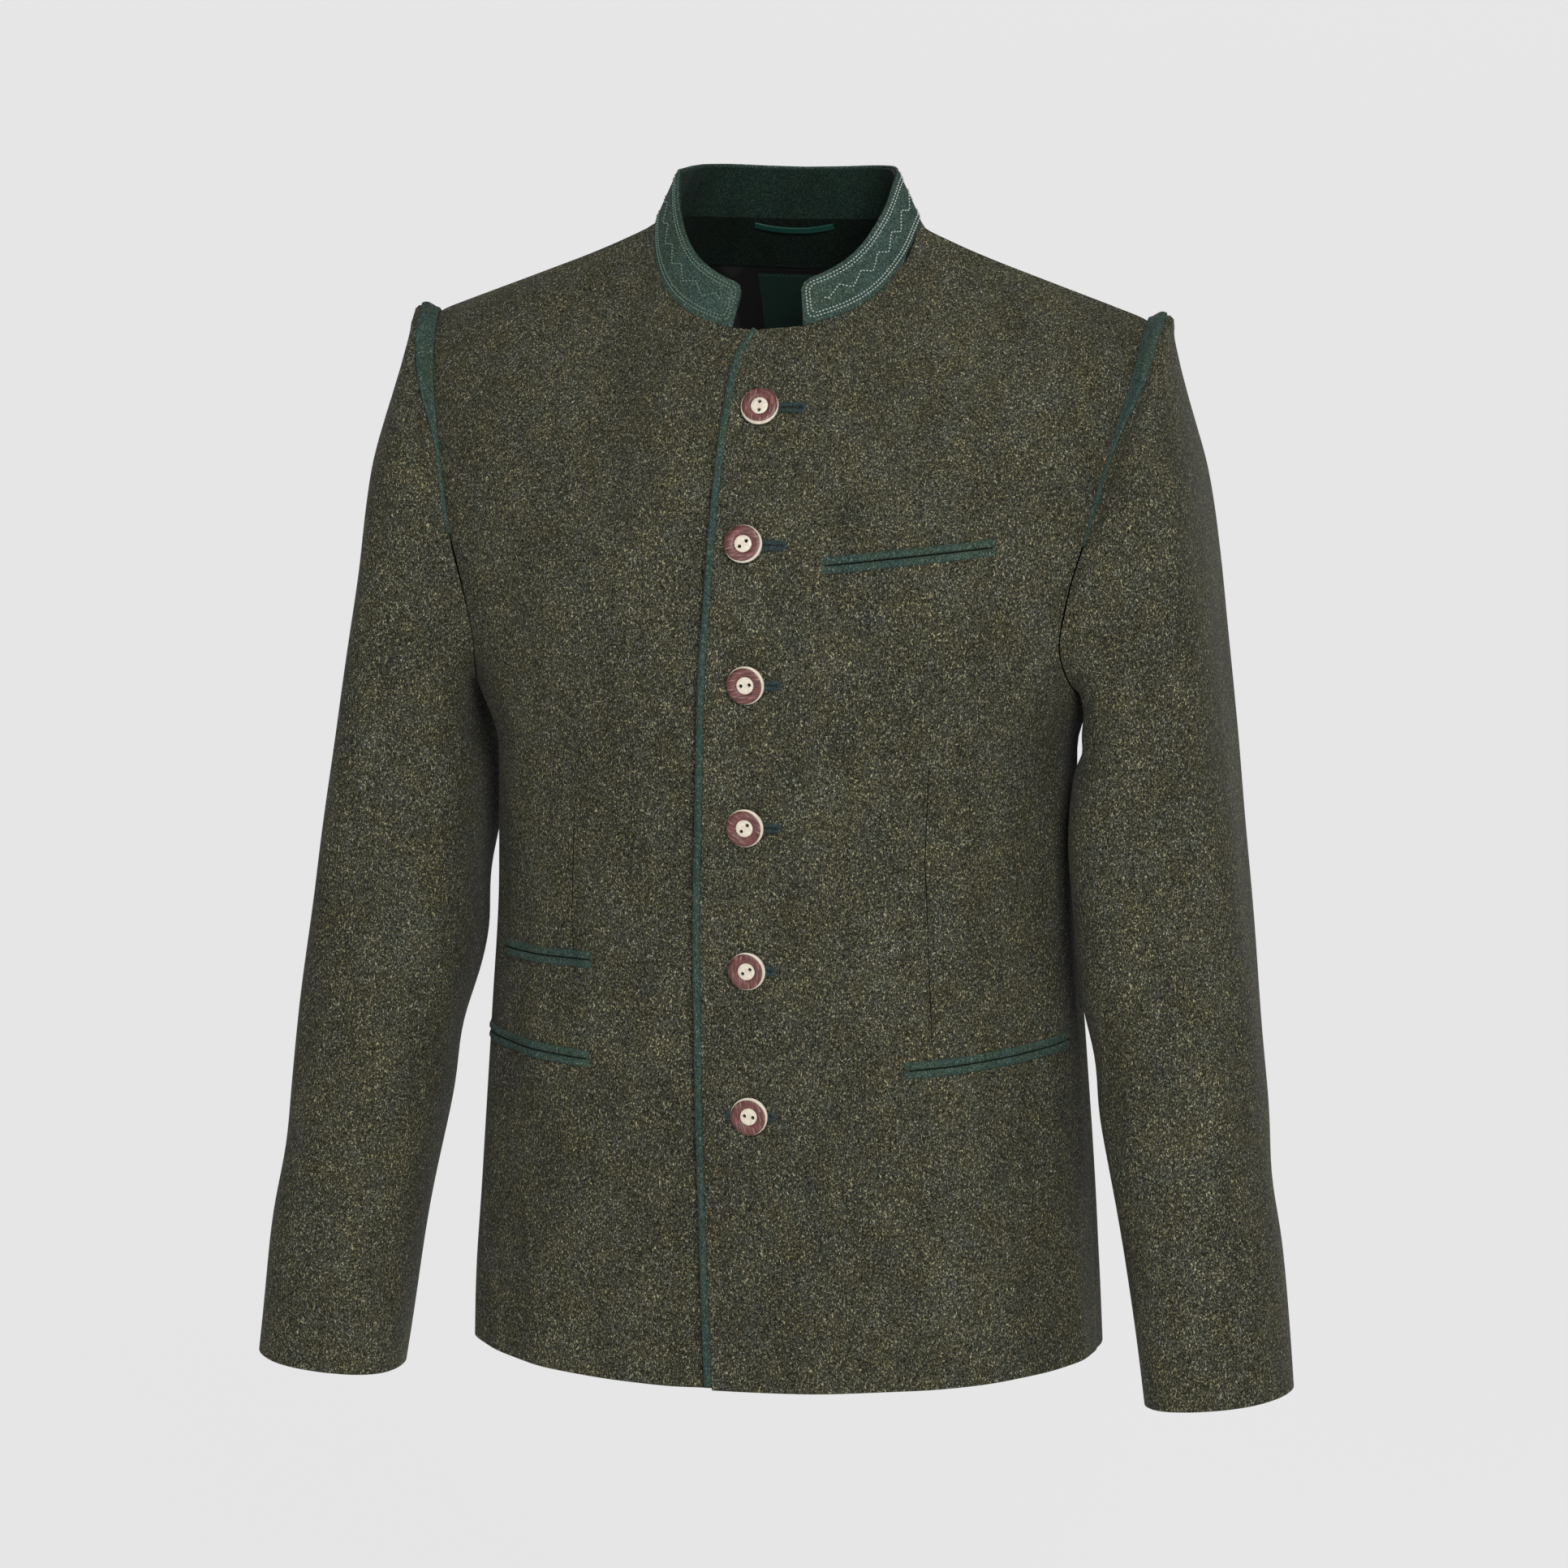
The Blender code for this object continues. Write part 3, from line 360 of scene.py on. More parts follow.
# name, place, size, power
LIGHTS = (
    ("key", (1.7, -3.6, 1.3), 1.4, 128),
    ("fill", (-0.6, -4.0, 0.2), 1.8, 26),
    ("overhead", (0.4, -1.2, 2.6), 1.6, 24),
)
STAGE_GLOW = 0.745
WORLD_GLOW = 0.06
CAMERA_TARGET = (-0.0025, 0.0, -0.345)
CAMERA_AZIMUTH = 12.0
CAMERA_ELEVATION = 7.5
CAMERA_DISTANCE = 4.4
CAMERA_LENS = 164


def smooth_table(rows, at):
    """The columns after the first at each value of the first, by a curve that doesn't overshoot its rows."""
    rows = np.asarray(rows, float)
    at = np.asarray(at, float)
    place = rows[:, 0]
    value = rows[:, 1:]
    step = np.diff(place)
    slope = np.diff(value, axis=0) / step[:, None]
    product = slope[:-1] * slope[1:]
    middle = np.where(product > 0, 2 * product / np.where(product > 0, slope[:-1] + slope[1:], 1), 0)
    tangent = np.vstack([slope[:1], middle, slope[-1:]])
    index = np.clip(np.searchsorted(place, at) - 1, 0, len(step) - 1)
    width = step[index][..., None]
    t = np.clip((at - place[index]) / step[index], 0, 1)[..., None]
    low, high = value[index], value[index + 1]
    low_slope, high_slope = tangent[index] * width, tangent[index + 1] * width
    t2, t3 = t * t, t * t * t
    return (
        low * (2 * t3 - 3 * t2 + 1)
        + low_slope * (t3 - 2 * t2 + t)
        + high * (3 * t2 - 2 * t3)
        + high_slope * (t3 - t2)
    )


def smooth_step(t):
    t = np.clip(t, 0, 1)
    return t * t * (3 - 2 * t)


def unit(vectors):
    return vectors / np.linalg.norm(vectors, axis=-1, keepdims=True)


def mirrored(side):
    """What turns the left side's points into those of the given side."""
    return np.array([side, 1, 1])


def line_lengths(points):
    """The length of a line from its start to each of its points."""
    return np.concatenate([[0], np.cumsum(np.linalg.norm(np.diff(points, axis=0), axis=1))])


def angle_at(x, z):
    """The angle round the torso of a point that lies this far from the centre at this height."""
    half_width = smooth_table(TORSO, z)[..., 0]
    part = np.clip(np.abs(x) / half_width, 0, 1)
    return np.sign(x) * np.degrees(np.arcsin(part ** (ROUNDNESS / 2)))


def body_fold(angle, z):
    """Depth of the form's soft folds, the same on both sides."""
    depth = np.zeros(np.broadcast(angle, z).shape)
    for fold_z, fold_angle, fold_depth, half_height, half_width in BODY_FOLDS:
        across = (np.abs(angle) - fold_angle) / half_width
        along = (z - fold_z) / half_height
        depth = depth + fold_depth * np.exp(-across * across - along * along)
    return depth


def torso_point(angle, z, back=False):
    """A point of the torso's form, as an array whose last axis is x, y, z."""
    angle = np.asarray(angle, float)
    z = np.asarray(z, float)
    form = smooth_table(TORSO, z)
    turn = np.radians(np.clip(np.abs(angle), 0, 90))
    power = 2 / ROUNDNESS
    x = form[..., 0] * np.sin(turn) ** power
    depth = form[..., 2 if back else 1] * np.cos(turn) ** power
    below = np.maximum(smooth_table(RIDGE, x)[..., 0] - z, 0)
    fall = smooth_table(BACK_FALL if back else FRONT_FALL, x)
    reach = np.clip(below / fall[..., 0], 0, 1)
    fullness = fall[..., 1]
    rise = (1 - (1 - reach) ** fullness) ** (1 / fullness)
    depth = depth * rise - body_fold(angle, z) * smooth_step(below / 0.1)
    seam_y = SHOULDER_TIP[1] * np.clip((x - NECK_HALF) / (SHOULDER_TIP[0] - NECK_HALF), 0, 1)
    y = seam_y * (1 - rise) + (depth if back else -depth)
    return np.stack([np.sign(angle) * x, y, z], axis=-1)


def along_line(points, count, weights=None):
    """Points at even steps along a line, or at the parts of its length that are asked for."""
    points = np.asarray(points, float)
    lengths = line_lengths(points)
    wanted = np.linspace(0, 1, count) if weights is None else np.asarray(weights)
    parts = lengths / lengths[-1]
    return np.stack([np.interp(wanted, parts, points[:, k]) for k in range(points.shape[1])], axis=-1)


def dense(rows, count=60):
    """A smooth line through a table's rows, with the row's number as its way."""
    rows = np.asarray(rows, float)
    numbered = np.column_stack([np.arange(len(rows)), rows])
    return smooth_table(numbered, np.linspace(0, len(rows) - 1, count))


def on_form(line):
    """A line of distances and heights, as angles round the torso and heights scaled to the same size."""
    return np.column_stack([angle_at(line[:, 0], line[:, 1]), line[:, 1]])


def hem_height(angle):
    return HEM_CENTRE + (HEM_SIDE - HEM_CENTRE) * smooth_step(np.abs(angle) / 90)


def side_boundary(armhole, rows):
    """The armhole from the tip down and then the side seam, in even steps of real length."""
    armhole_rows = round(rows * ARMHOLE_SHARE)
    scale = np.array([DEGREE_LENGTH, 1.0])
    upper = along_line(on_form(dense(armhole)) * scale, armhole_rows + 1) / scale
    heights = np.linspace(ARMHOLE_BOTTOM, HEM_SIDE, rows - armhole_rows + 1)[1:]
    return np.vstack([upper, np.column_stack([np.full(len(heights), 90.0), heights])])


def blended_patch(top, bottom, first, last):
    """A grid between four lines of a plane: rows run from top to bottom, columns from first to last."""
    s = np.linspace(0, 1, len(top))[None, :, None]
    t = np.linspace(0, 1, len(first))[:, None, None]
    corners = (
        (1 - s) * (1 - t) * top[0] + s * (1 - t) * top[-1] + (1 - s) * t * bottom[0] + s * t * bottom[-1]
    )
    return (1 - s) * first[:, None] + s * last[:, None] + (1 - t) * top[None] + t * bottom[None] - corners


def panel_top(neck, columns, neck_columns):
    """The neckline and then the shoulder seam, as angles and heights."""
    tip = np.array([SHOULDER_TIP[0], SHOULDER_TIP[2]])
    neck_part = along_line(neck, neck_columns + 1)
    x = np.linspace(NECK_HALF, tip[0], columns - neck_columns + 1)[1:]
    shoulder = np.column_stack([x, smooth_table(RIDGE, x)[:, 0]])
    return on_form(np.vstack([neck_part, shoulder]))


def front_plan(edge, rows, columns):
    """Angles and heights of a front's grid. The edge gives the distance from the centre at a height."""
    neck_columns = round(columns * NECK_SHARE)
    start = edge(np.array([FRONT_NECK[0][1]]))[0]
    neck = dense(FRONT_NECK)
    if start < 0:
        across = np.linspace(start, 0, 6)[:-1]
        neck = np.vstack([np.column_stack([across, np.full(5, FRONT_NECK[0][1])]), neck])
    else:
        neck = neck[neck[:, 0] >= start]
    top = panel_top(neck, columns, neck_columns)
    last = side_boundary(FRONT_ARMHOLE, rows)
    heights = np.concatenate([[neck[0, 1]], np.linspace(neck[0, 1], HEM_CENTRE, rows + 1)[1:]])
    first = on_form(np.column_stack([edge(heights), heights]))
    ends = np.linspace(first[-1, 0], 90, columns + 1)
    bottom = np.column_stack([ends, hem_height(ends)])
    return blended_patch(top, bottom, first, last)


def back_plan(rows, columns):
    """The plan of the back's left half."""
    neck_columns = round(columns * NECK_SHARE)
    top = panel_top(dense(BACK_NECK), columns, neck_columns)
    last = side_boundary(BACK_ARMHOLE, rows)
    heights = np.linspace(BACK_NECK[0][1], HEM_CENTRE, rows + 1)
    first = np.column_stack([np.zeros(rows + 1), heights])
    ends = np.linspace(0, 90, columns + 1)
    bottom = np.column_stack([ends, hem_height(ends)])
    return blended_patch(top, bottom, first, last)


def lap_lift(x):
    """How far the lapped left front stands off the right front below it."""
    return LAP_LIFT * smooth_step((LAP_END - x) / (LAP_END - LAP_FULL))


def left_edge(z):
    return smooth_table(FRONT_EDGE, z)[..., 0]


def cloth_edge(z):
    """The left front's cloth stops where its piping starts."""
    return left_edge(z) + PIPING_WIDTH + SEAM


def right_edge(z):
    return np.full(np.shape(z), -UNDERLAP)


def normals_of(grid, wraps=False):
    """Unit normals of a grid of points. A grid that wraps is closed along its columns."""
    if wraps:
        padded = np.concatenate([grid[:, -1:], grid, grid[:, :1]], axis=1)
        across = np.gradient(padded, axis=1)[:, 1:-1]
    else:
        across = np.gradient(grid, axis=1)
    down = np.gradient(grid, axis=0)
    normal = np.cross(down, across)
    return normal / np.maximum(np.linalg.norm(normal, axis=-1, keepdims=True), 1e-12)


def flattened(normal, drop):
    """Normals without one of their parts, so that neighbours meet along a seam."""
    normal = normal.copy()
    normal[..., drop] = 0
    return unit(normal)


def drawn_in(grid, gap=SEAM / 2):
    """The grid with its top edge moved in by half of a seam's gap."""
    grid = grid.copy()
    grid[0] = grid[0] + unit(grid[1] - grid[0]) * gap
    return grid


def front_surface(x, z, side):
    """Point and outward normal on the left (1) or right (-1) front, at a distance and a height."""
    x = np.asarray(x, float)
    z = np.asarray(z, float)
    step = 0.0005
    spot = torso_point(angle_at(x, z), z)
    across = torso_point(angle_at(x + step, z), z) - torso_point(angle_at(x - step, z), z)
    down = torso_point(angle_at(x, z - step), z - step) - torso_point(angle_at(x, z + step), z + step)
    normal = unit(np.cross(down, across))
    normal = normal * np.where(normal[..., 1:2] > 0, -1, 1)
    lift = lap_lift(x) if side > 0 else np.zeros(x.shape)
    return spot + normal * lift[..., None], normal


def armhole_line(armhole, back):
    """The panels' own points along the armhole, from the shoulder tip to its bottom, moved clear of them."""
    line = side_boundary(armhole, PANEL_ROWS)[: round(PANEL_ROWS * ARMHOLE_SHARE) + 1]
    points = torso_point(line[:, 0], line[:, 1], back)
    points[-1, 1] = 0
    inward = ARMHOLE_MIDDLE - points
    inward[:, 0] = 0
    return points + unit(inward) * ARMHOLE_CLEARANCE + np.array([ARMHOLE_CLEARANCE, 0, 0])


def sleeve_grid(rows, columns):
    """The left sleeve's outer points: a row for each ring, columns from its outer side round the back."""
    behind = armhole_line(BACK_ARMHOLE, True)
    before = armhole_line(FRONT_ARMHOLE, False)
    armhole = np.vstack([behind, before[-2:0:-1]])
    way = np.linspace(0, 1, rows + 1) ** SLEEVE_PITCH
    turn = np.radians(np.linspace(0, 360, columns, endpoint=False))
    form = smooth_table(SLEEVE, way)
    outer_x, outer_z, inner_x, inner_z, middle_y, half_depth, roundness = (form[:, k, None] for k in range(7))
    power = 2 / roundness
    across = np.sign(np.cos(turn)) * np.abs(np.cos(turn)) ** power
    round_y = np.sign(np.sin(turn)) * np.abs(np.sin(turn)) ** power
    x = (outer_x + inner_x) / 2 + (outer_x - inner_x) / 2 * across
    z = (outer_z + inner_z) / 2 + (outer_z - inner_z) / 2 * across
    y = middle_y + half_depth * round_y
    fold = np.zeros(x.shape)
    for fold_way, fold_angle, depth, half_length, half_width in SLEEVE_FOLDS:
        turned = (np.degrees(turn)[None, :] - fold_angle + 180) % 360 - 180
        along = (way[:, None] - fold_way) / half_length
        fold = fold + depth * np.exp(-((turned / half_width) ** 2) - along**2)
    x = x - fold * np.cos(turn)
    y = y - fold * np.sin(turn)
    grid = np.stack([x, y, z], axis=-1)
    join = smooth_step(way / SLEEVE_JOIN)[:, None, None]
    grid = armhole[None] * (1 - join) + grid * join
    reach = np.clip(way[:, None] / 0.03, 0, 1)
    cap = np.clip(np.cos(turn), 0, 1)[None, :] ** 0.7
    grid[..., 0] += reach * (1 - join[..., 0]) * cap * CAP_FULLNESS
    return clear_of_torso(grid)


def clear_of_torso(grid, gap=0.0022):
    """Moves points that would lie in the torso out to its side."""
    form = smooth_table(TORSO, grid[..., 2])
    depth = np.where(grid[..., 1] < 0, form[..., 1], form[..., 2])
    part = np.clip(np.abs(grid[..., 1]) / depth, 0, 1)
    side = form[..., 0] * (1 - part**ROUNDNESS) ** (1 / ROUNDNESS)
    least = np.where(grid[..., 2] < ARMHOLE_BOTTOM - 0.002, side + gap, -1)
    grid = grid.copy()
    grid[1:, :, 0] = np.maximum(grid[1:, :, 0], least[1:])
    return grid


def cut_at(line, least):
    """The part of a line from the neck's front whose distance from the centre is at least this."""
    after = int(np.argmax(line[:, 0] > least))
    before, first = line[after - 1], line[after]
    start = before + (first - before) * (least - before[0]) / (first[0] - before[0])
    return np.vstack([start, line[after:]])


def collar_grids(count, rows):
    """The stand collar's outer face: its lower edge on the neckline, its top drawn in towards the neck."""
    base = neckline(count)
    ends = np.abs(np.linspace(-1, 1, count))
    height = COLLAR_HEIGHT - COLLAR_FALL * smooth_step((ends - 0.5) / 0.5)
    inward = -unit(base[:, :2])
    lean = COLLAR_LEAN + COLLAR_FRONT_LEAN * smooth_step((ends - 0.55) / 0.45)
    way = np.column_stack([inward * np.sin(lean)[:, None], np.cos(lean)])
    steps = np.linspace(0, 1, rows + 1)
    grid = base[None] + way[None] * (height[None, :] * steps[:, None])[..., None]
    grid = grid + np.array([0, 0, COLLAR_RISE])
    from_end = np.linalg.norm(base - base[0], axis=1)
    from_end = np.minimum(from_end, np.linalg.norm(base - base[-1], axis=1))
    corner = np.clip(1 - from_end / COLLAR_ROUNDING, 0, 1)
    drop = COLLAR_ROUNDING * (1 - np.sqrt(1 - corner**2)) * 0.6
    grid = grid - way[None] * (drop[None, :] * steps[:, None])[..., None]
    return grid[::-1]


def between(values, rows, columns):
    """A grid's values at rows and columns that may lie between its own."""
    low = np.clip(np.floor(rows).astype(int), 0, len(values) - 2)
    left = np.clip(np.floor(columns).astype(int), 0, values.shape[1] - 2)
    down = (rows - low)[..., None]
    over = (columns - left)[..., None]
    above = values[low, left] * (1 - over) + values[low, left + 1] * over
    below = values[low + 1, left] * (1 - over) + values[low + 1, left + 1] * over
    return above * (1 - down) + below * down


def bell(t):
    return np.exp(-t * t)


def creases(rows, way, angle, wraps=False):
    """Depth of the soft creases at each place: each runs along the cloth and slants a little."""
    depth = np.zeros(np.broadcast(way, angle).shape)
    for place, turn, deep, half_length, half_width, slant in rows:
        across = angle - turn - slant * (way - place)
        if wraps:
            across = (across + 180) % 360 - 180
        depth = depth + deep * bell(across / half_width) * bell((way - place) / half_length)
    return depth


def dart_line(z, side):
    """The dart's distance from the centre at a height."""
    rows = np.array(DARTS[side])[::-1]
    return np.interp(z, rows[:, 0], rows[:, 1])


def body_relief(angle, z, side, back=False):
    """Depth of creases and waves on a front or the back. The angle is positive on the wearer's left."""
    # none beside the side seam, the neckline, the armhole and the lapped edge
    away = np.abs(angle)
    free = smooth_step((86 - away) / 12) * smooth_step((-0.09 - z) / 0.06)
    at_armhole = smooth_step((z + 0.31) / 0.03)
    free = free * (1 - at_armhole * smooth_step((away - 38) / 12))
    if back:
        deep = creases(BACK_CREASES, z, angle)
    else:
        deep = creases(FRONT_CREASES, z, angle)
        free = free * smooth_step((away - 9) / 14)
    wave = 0.0004 * np.sin(angle * 0.21 + 9 * z) * np.sin(31 * z + 0.05 * angle)
    wave = wave + 0.0003 * np.sin(angle * 0.37 - 17 * z + 1.3)
    depth = (deep + wave) * free
    if not back:
        top, bottom = DARTS[side][0][0], DARTS[side][-1][0]
        x = np.abs(torso_point(angle, z)[..., 0])
        along = smooth_step((top + 0.03 - z) / 0.03) * smooth_step((z - bottom + 0.05) / 0.05)
        depth = depth + DART_DEPTH * along * bell((x - dart_line(z, side)) / DART_HALF_WIDTH)
        if side < 0:
            past_lap = smooth_step((-left_edge(z) + LAP_HOLLOW_WIDTH + np.sign(angle) * x) / LAP_HOLLOW_WIDTH)
            depth = depth + LAP_HOLLOW * past_lap * smooth_step((-0.10 - z) / 0.05)
    return depth


def dropped_seams(grid, normal, edges):
    """The grid with its named edges sunk a little, as cloth is beside a pressed seam."""
    grid = grid.copy()
    for place, part in edges:
        grid[place] = grid[place] - normal[place] * SEAM_DROP * part
    return grid


def front_grid(side, relief=True):
    """A front's outer points and normals, given as on the left side."""
    plan = front_plan(cloth_edge if side > 0 else right_edge, PANEL_ROWS, FRONT_COLUMNS)
    grid = torso_point(plan[..., 0], plan[..., 1])
    normal = normals_of(grid)
    normal = normal * np.sign(-normal[PANEL_ROWS // 2, 3, 1])
    neck_columns = round(FRONT_COLUMNS * NECK_SHARE)
    low = round(PANEL_ROWS * ARMHOLE_SHARE)
    normal[0, neck_columns:] = flattened(normal[0, neck_columns:], 1)
    normal[low:, -1] = flattened(normal[low:, -1], 1)
    if side > 0:
        grid = grid + normal * lap_lift(grid[..., 0])[..., None]
    grid = drawn_in(grid)
    if relief:
        grid = grid - normal * body_relief(plan[..., 0] * side, plan[..., 1], side)[..., None]
        seams = [((slice(None), -1), 1.0), ((slice(None), -2), 0.25)]
        seams += [((0, slice(neck_columns, None)), 0.8), ((1, slice(neck_columns, None)), 0.2)]
        grid = dropped_seams(grid, normal, seams)
    return grid, normal


def back_grid(relief=False):
    """The back's outer points and normals, from its right side to its left side."""
    half = back_plan(PANEL_ROWS, BACK_COLUMNS // 2)
    grid = torso_point(half[..., 0], half[..., 1], back=True)
    grid = np.concatenate([grid[:, :0:-1] * mirrored(-1), grid], axis=1)
    normal = normals_of(grid)
    normal = normal * np.sign(normal[PANEL_ROWS // 2, BACK_COLUMNS // 2, 1])
    middle = BACK_COLUMNS // 2
    neck_columns = round(middle * NECK_SHARE)
    shoulders = (slice(0, middle - neck_columns + 1), slice(middle + neck_columns, None))
    for columns in shoulders:
        normal[0, columns] = flattened(normal[0, columns], 1)
    low = round(PANEL_ROWS * ARMHOLE_SHARE)
    for column in (0, -1):
        normal[low:, column] = flattened(normal[low:, column], 1)
    grid = drawn_in(grid)
    if relief:
        angle = np.concatenate([-half[:, :0:-1, 0], half[..., 0]], axis=1)
        height = np.concatenate([half[:, :0:-1, 1], half[..., 1]], axis=1)
        grid = grid - normal * body_relief(angle, height, 1, back=True)[..., None]
        seams = SIDE_SEAMS + [((r, columns), p) for r, p in ((0, 0.8), (1, 0.2)) for columns in shoulders]
        grid = dropped_seams(grid, normal, seams)
    return grid, normal


def on_front(x, z, side):
    """Point and normal on a front as dressed, at a distance from the centre and a height, on its own side."""
    spot, normal = front_surface(x, z, side)
    spot = spot - normal * body_relief(angle_at(x, z) * side, z, side)[..., None]
    return spot * mirrored(side), normal * mirrored(side)


def neckline(count):
    """The panels' own points along the neckline, from the right collar end round the back to the left one."""
    last = round(FRONT_COLUMNS * NECK_SHARE) + 1
    left = cut_at(front_grid(1, False)[0][0, :last], COLLAR_END[1])
    right = cut_at(front_grid(-1, False)[0][0, :last], -COLLAR_END[-1]) * mirrored(-1)
    middle = BACK_COLUMNS // 2
    reach = round(middle * NECK_SHARE)
    behind = back_grid()[0][0, middle - reach + 1 : middle + reach]
    return along_line(np.vstack([right, behind, left[::-1]]), count)


def placed(name, data):
    """A new object in the scene."""
    made = bpy.data.objects.new(name, data)
    bpy.context.scene.collection.objects.link(made)
    return made


def built(name, points, faces, finishes, kinds=None, sharp=50):
    """A closed mesh object with its faces turned outwards."""
    points = np.asarray(points, float)
    corners = points[np.array([f[:3] for f in faces])]
    extra = [f for f in faces if len(f) > 3]
    more = points[np.array([(f[0], f[2], f[3]) for f in extra])] if extra else np.zeros((0, 3, 3))
    if np.linalg.det(np.vstack([corners, more])).sum() < 0:
        faces = [tuple(f)[::-1] for f in faces]
    mesh = bpy.data.meshes.new(name)
    mesh.from_pydata(points.tolist(), [], [tuple(int(i) for i in f) for f in faces])
    for finish in finishes:
        mesh.materials.append(finish)
    if kinds is not None:
        mesh.polygons.foreach_set("material_index", np.asarray(kinds, np.int32))
    mesh.shade_smooth()
    mesh.set_sharp_from_angle(angle=math.radians(sharp))
    return placed(name, mesh)


def shell(name, outer, inner, finishes, free=(), bulge=0.0006):
    """A thin closed cloth shell. Its free edges are rounded, and its inner face takes the second finish."""
    rows, columns = outer.shape[:2]
    number = np.arange(rows * columns).reshape(rows, columns)
    quads = np.stack([number[:-1, :-1], number[:-1, 1:], number[1:, 1:], number[1:, :-1]], -1).reshape(-1, 4)
    behind = quads[:, ::-1] + rows * columns
    rim = np.concatenate([number[0], number[1:, -1], number[-1, -2::-1], number[-2:0:-1, 0]])
    push = np.zeros(outer.shape)
    for edge in free:
        here, beside = EDGES[edge]
        push[here] += unit(outer[here] - outer[beside]) * bulge
    middle = ((outer + inner) / 2 + push).reshape(-1, 3)[rim]
    ring = 2 * rows * columns + np.arange(len(rim))
    after, ring_after = np.roll(rim, -1), np.roll(ring, -1)
    first = np.stack([rim, ring, ring_after, after], -1)
    second = np.stack([ring, rim + rows * columns, after + rows * columns, ring_after], -1)
    faces = np.vstack([quads, behind, first, second]).tolist()
    kinds = np.zeros(len(faces), int)
    if len(finishes) > 1:
        kinds[len(quads) : 2 * len(quads)] = 1
    points = np.vstack([outer.reshape(-1, 3), inner.reshape(-1, 3), middle])
    return built(name, points, faces, finishes, kinds)


def strip(name, centre, normal, half_width, base, height, finish, sections=10, flat=0.0):
    """A raised strip with a rounded back along a line. Flat is the share of its width that stays level."""
    centre = np.asarray(centre, float)
    normal = np.asarray(normal, float)
    half = np.broadcast_to(half_width, len(centre))[:, None]
    tall = np.broadcast_to(height, len(centre))[:, None]
    side = unit(np.cross(np.gradient(centre, axis=0), normal))
    turn = np.linspace(0, np.pi, sections)
    across = np.cos(turn)
    across = np.sign(across) * (flat + (1 - flat) * np.abs(across)) if flat else across
    up = np.sin(turn) ** 0.7
    rings = [centre + side * half * a + normal * (base + tall * u) for a, u in zip(across, up)]
    points = np.stack(rings, axis=1).reshape(-1, 3)
    size, count = sections, len(centre)
    faces = [tuple(range(size)), tuple(range((count - 1) * size, count * size))[::-1]]
    for j in range(count - 1):
        for k in range(size):
            a, b = j * size + k, j * size + (k + 1) % size
            faces.append((b, a, a + size, b + size))
    return built(name, points, faces, [finish])


def tube(line, across, up, wide, tall, closed):
    """Points and faces of a tube round a line. Wide and tall are its half sizes across and up."""
    sides = 8
    turn = np.linspace(0, 2 * np.pi, sides, endpoint=False)
    rings = (
        line[:, None]
        + across[:, None] * (np.cos(turn)[None, :, None] * wide[:, None, None])
        + up[:, None] * (np.sin(turn)[None, :, None] * tall[:, None, None])
    )
    count = len(line)
    number = np.arange(count * sides).reshape(count, sides)
    following = np.roll(number, -1, axis=1)
    last = count if closed else count - 1
    after, after_following = np.roll(number, -1, axis=0), np.roll(following, -1, axis=0)
    faces = np.stack([number, following, after_following, after], -1)[:last].reshape(-1, 4).tolist()
    if not closed:
        faces += [list(number[0][::-1]), list(number[-1])]
    return rings.reshape(-1, 3), faces


def joined(parts):
    """Points and faces of several meshes as one."""
    points, faces, base = [], [], 0
    for some_points, some_faces in parts:
        points.append(some_points)
        faces += [[i + base for i in face] for face in some_faces]
        base += len(some_points)
    return np.vstack(points), faces


def stitches(path, normal, pitch, length, radius, sink=0.3):
    """A row of short raised stitches along a line of points: pitch is from stitch to stitch."""
    lengths = line_lengths(path)
    parts = []
    for middle in np.arange(pitch / 2, lengths[-1] - pitch / 2, pitch):
        steps = np.array([-1, -0.72, 0, 0.72, 1])
        at = middle + steps * length / 2
        spots = np.stack([np.interp(at, lengths, path[:, k]) for k in range(3)], -1)
        up = unit(np.array([np.interp(middle, lengths, normal[:, k]) for k in range(3)]))
        across = unit(np.cross(up, spots[-1] - spots[0]))
        size = radius * np.array([0.35, 0.85, 1.0, 0.85, 0.35])
        arch = radius * (1 - sink) * (1 - 0.7 * steps * steps)
        spots = spots + up * arch[:, None]
        parts.append(tube(spots, np.tile(across, (5, 1)), np.tile(up, (5, 1)), size, size, False))
    return parts


def node(tree, kind, inputs=None, **settings):
    """Adds a node. An input given as a socket is linked, and any other is set."""
    made = tree.nodes.new(kind)
    for key, value in settings.items():
        setattr(made, key, value)
    for key, value in (inputs or {}).items():
        if isinstance(value, bpy.types.NodeSocket):
            tree.links.new(value, made.inputs[key])
        else:
            made.inputs[key].default_value = value
    return made


def mapped(tree, place, **inputs):
    """Places moved, turned or scaled."""
    return node(tree, "ShaderNodeMapping", {"Vector": place, **inputs}).outputs["Vector"]


def ramp(tree, value, stops):
    """A colour, or a grey value, for each place between the stops."""
    made = node(tree, "ShaderNodeValToRGB", {"Fac": value})
    elements = made.color_ramp.elements
    while len(elements) < len(stops):
        elements.new(0.5)
    for element, (place, colour) in zip(elements, stops):
        element.position = place
        element.color = (*colour, 1) if len(colour) == 3 else (colour[0],) * 3 + (1,)
    return made.outputs["Color"]


def noise(tree, place, scale, detail=2.0, roughness=0.5, distortion=0.0):
    inputs = {"Vector": place, "Scale": scale, "Detail": detail}
    inputs.update({"Roughness": roughness, "Distortion": distortion})
    return node(tree, "ShaderNodeTexNoise", inputs).outputs["Fac"]


